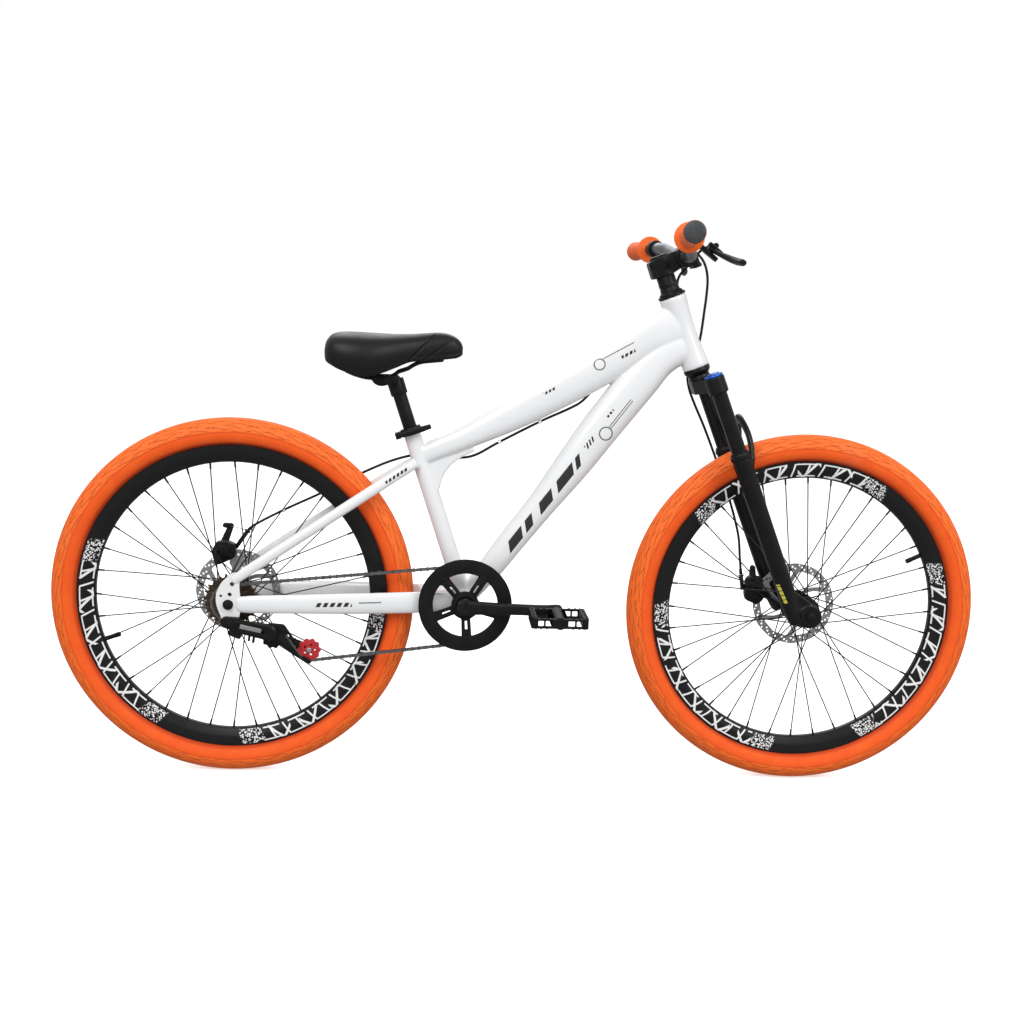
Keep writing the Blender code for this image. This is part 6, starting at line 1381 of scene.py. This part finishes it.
for end, rider, start, stop in (("rear", "frame", (-0.5225, 0.06, 0.452), (-0.5548, 0.0696, 0.4576)),
                                ("front", "fork_slider", (0.4352, 0.056, 0.388), (0.4572, 0.0588, 0.4012))):
    wire = piece(end + "_pull_wire", [rod(start, stop, 0.0008, 8)], steel, None, (), 40)
    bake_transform(wire)

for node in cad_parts.values():
    if not node.hide_render:
        node.data.materials.clear()
        node.data.materials.append(satin.material)


# Stage, light and camera
# A plain pale floor that meets a pale surround, soft light from large panels, and the camera where the
# photograph's was, on the bicycle's right.

floor_look = Finish("pale_floor", "white_paint", (0.86, 0.86, 0.86), 0.9, emission_strength=0.52)
floor_look.tint(floor_look.noise(3, 3) * 0.15, (0.84, 0.84, 0.84))
sheet = bpy.data.meshes.new("pale_floor")
sheet.from_pydata([(-14, -14, 0), (14, -14, 0), (14, 14, 0), (-14, 14, 0)], [], [(0, 1, 2, 3)])
floor = bpy.data.objects.new("pale_floor", sheet)
sheet.materials.append(floor_look.material)
bpy.context.scene.collection.objects.link(floor)
floor.visible_diffuse = floor.visible_glossy = False
world = bpy.data.worlds.new("studio")
world.use_nodes = True
nodes, links = world.node_tree.nodes, world.node_tree.links
seen = nodes["Background"]
shed, mixed, ray, way, split, graded = (nodes.new("ShaderNode" + kind) for kind in (
    "Background", "MixShader", "LightPath", "TexCoord", "SeparateXYZ", "MapRange"))
seen.inputs[0].default_value = (1.0, 1.0, 1.0, 1.0)
shed.inputs[0].default_value = (1.0, 1.0, 1.0, 1.0)
links.new(way.outputs["Generated"], split.inputs[0])
links.new(split.outputs["Z"], graded.inputs["Value"])
graded.inputs["From Min"].default_value, graded.inputs["From Max"].default_value = -0.5, 0.9
graded.inputs["To Min"].default_value, graded.inputs["To Max"].default_value = 0.4, 0.8
links.new(graded.outputs["Result"], shed.inputs[1])
links.new(ray.outputs["Is Camera Ray"], mixed.inputs[0])
links.new(shed.outputs[0], mixed.inputs[1])
links.new(seen.outputs[0], mixed.inputs[2])
links.new(mixed.outputs[0], nodes["World Output"].inputs["Surface"])
bpy.context.scene.world = world
bpy.context.scene.view_settings.view_transform = "Standard"
for place, aim, size, power in (((-1.6, -3.0, 3.2), (0, 0, 0.5), 2.6, 92.0),
                                ((2.2, -2.2, 2.4), (0.2, 0, 0.5), 2.0, 46.0),
                                ((0.0, 2.8, 3.0), (0, 0, 0.5), 3.0, 40.0)):
    lamp = bpy.data.lights.new("panel", "AREA")
    lamp.shape, lamp.size, lamp.energy = "DISK", size, power
    held = bpy.data.objects.new("panel", lamp)
    held.location = place
    held.rotation_euler = (Vector(aim) - Vector(place)).to_track_quat("-Z", "Y").to_euler()
    bpy.context.scene.collection.objects.link(held)

YAW = 0.062217
PITCH_DOWN = 0.14734
ROLL = 0.035084
LENS_MM = 45.58
SENSOR_MM = 36.0
CAMERA_AT = (-0.17227, -2.40925, 0.86751)
onward = np.array([sin(YAW) * cos(PITCH_DOWN), cos(YAW) * cos(PITCH_DOWN), -sin(PITCH_DOWN)])
rightward = np.array([cos(YAW), -sin(YAW), 0])
upward = np.cross(rightward, onward)
right_axis = cos(ROLL) * rightward + sin(ROLL) * upward
up_axis = -sin(ROLL) * rightward + cos(ROLL) * upward
lens = bpy.data.cameras.new("camera")
lens.sensor_width = SENSOR_MM
lens.lens = LENS_MM
camera = bpy.data.objects.new("camera", lens)
turned_to = Matrix((right_axis, up_axis, -onward)).transposed().to_4x4()
camera.matrix_world = Matrix.Translation(CAMERA_AT) @ turned_to
bpy.context.scene.collection.objects.link(camera)
bpy.context.scene.camera = camera
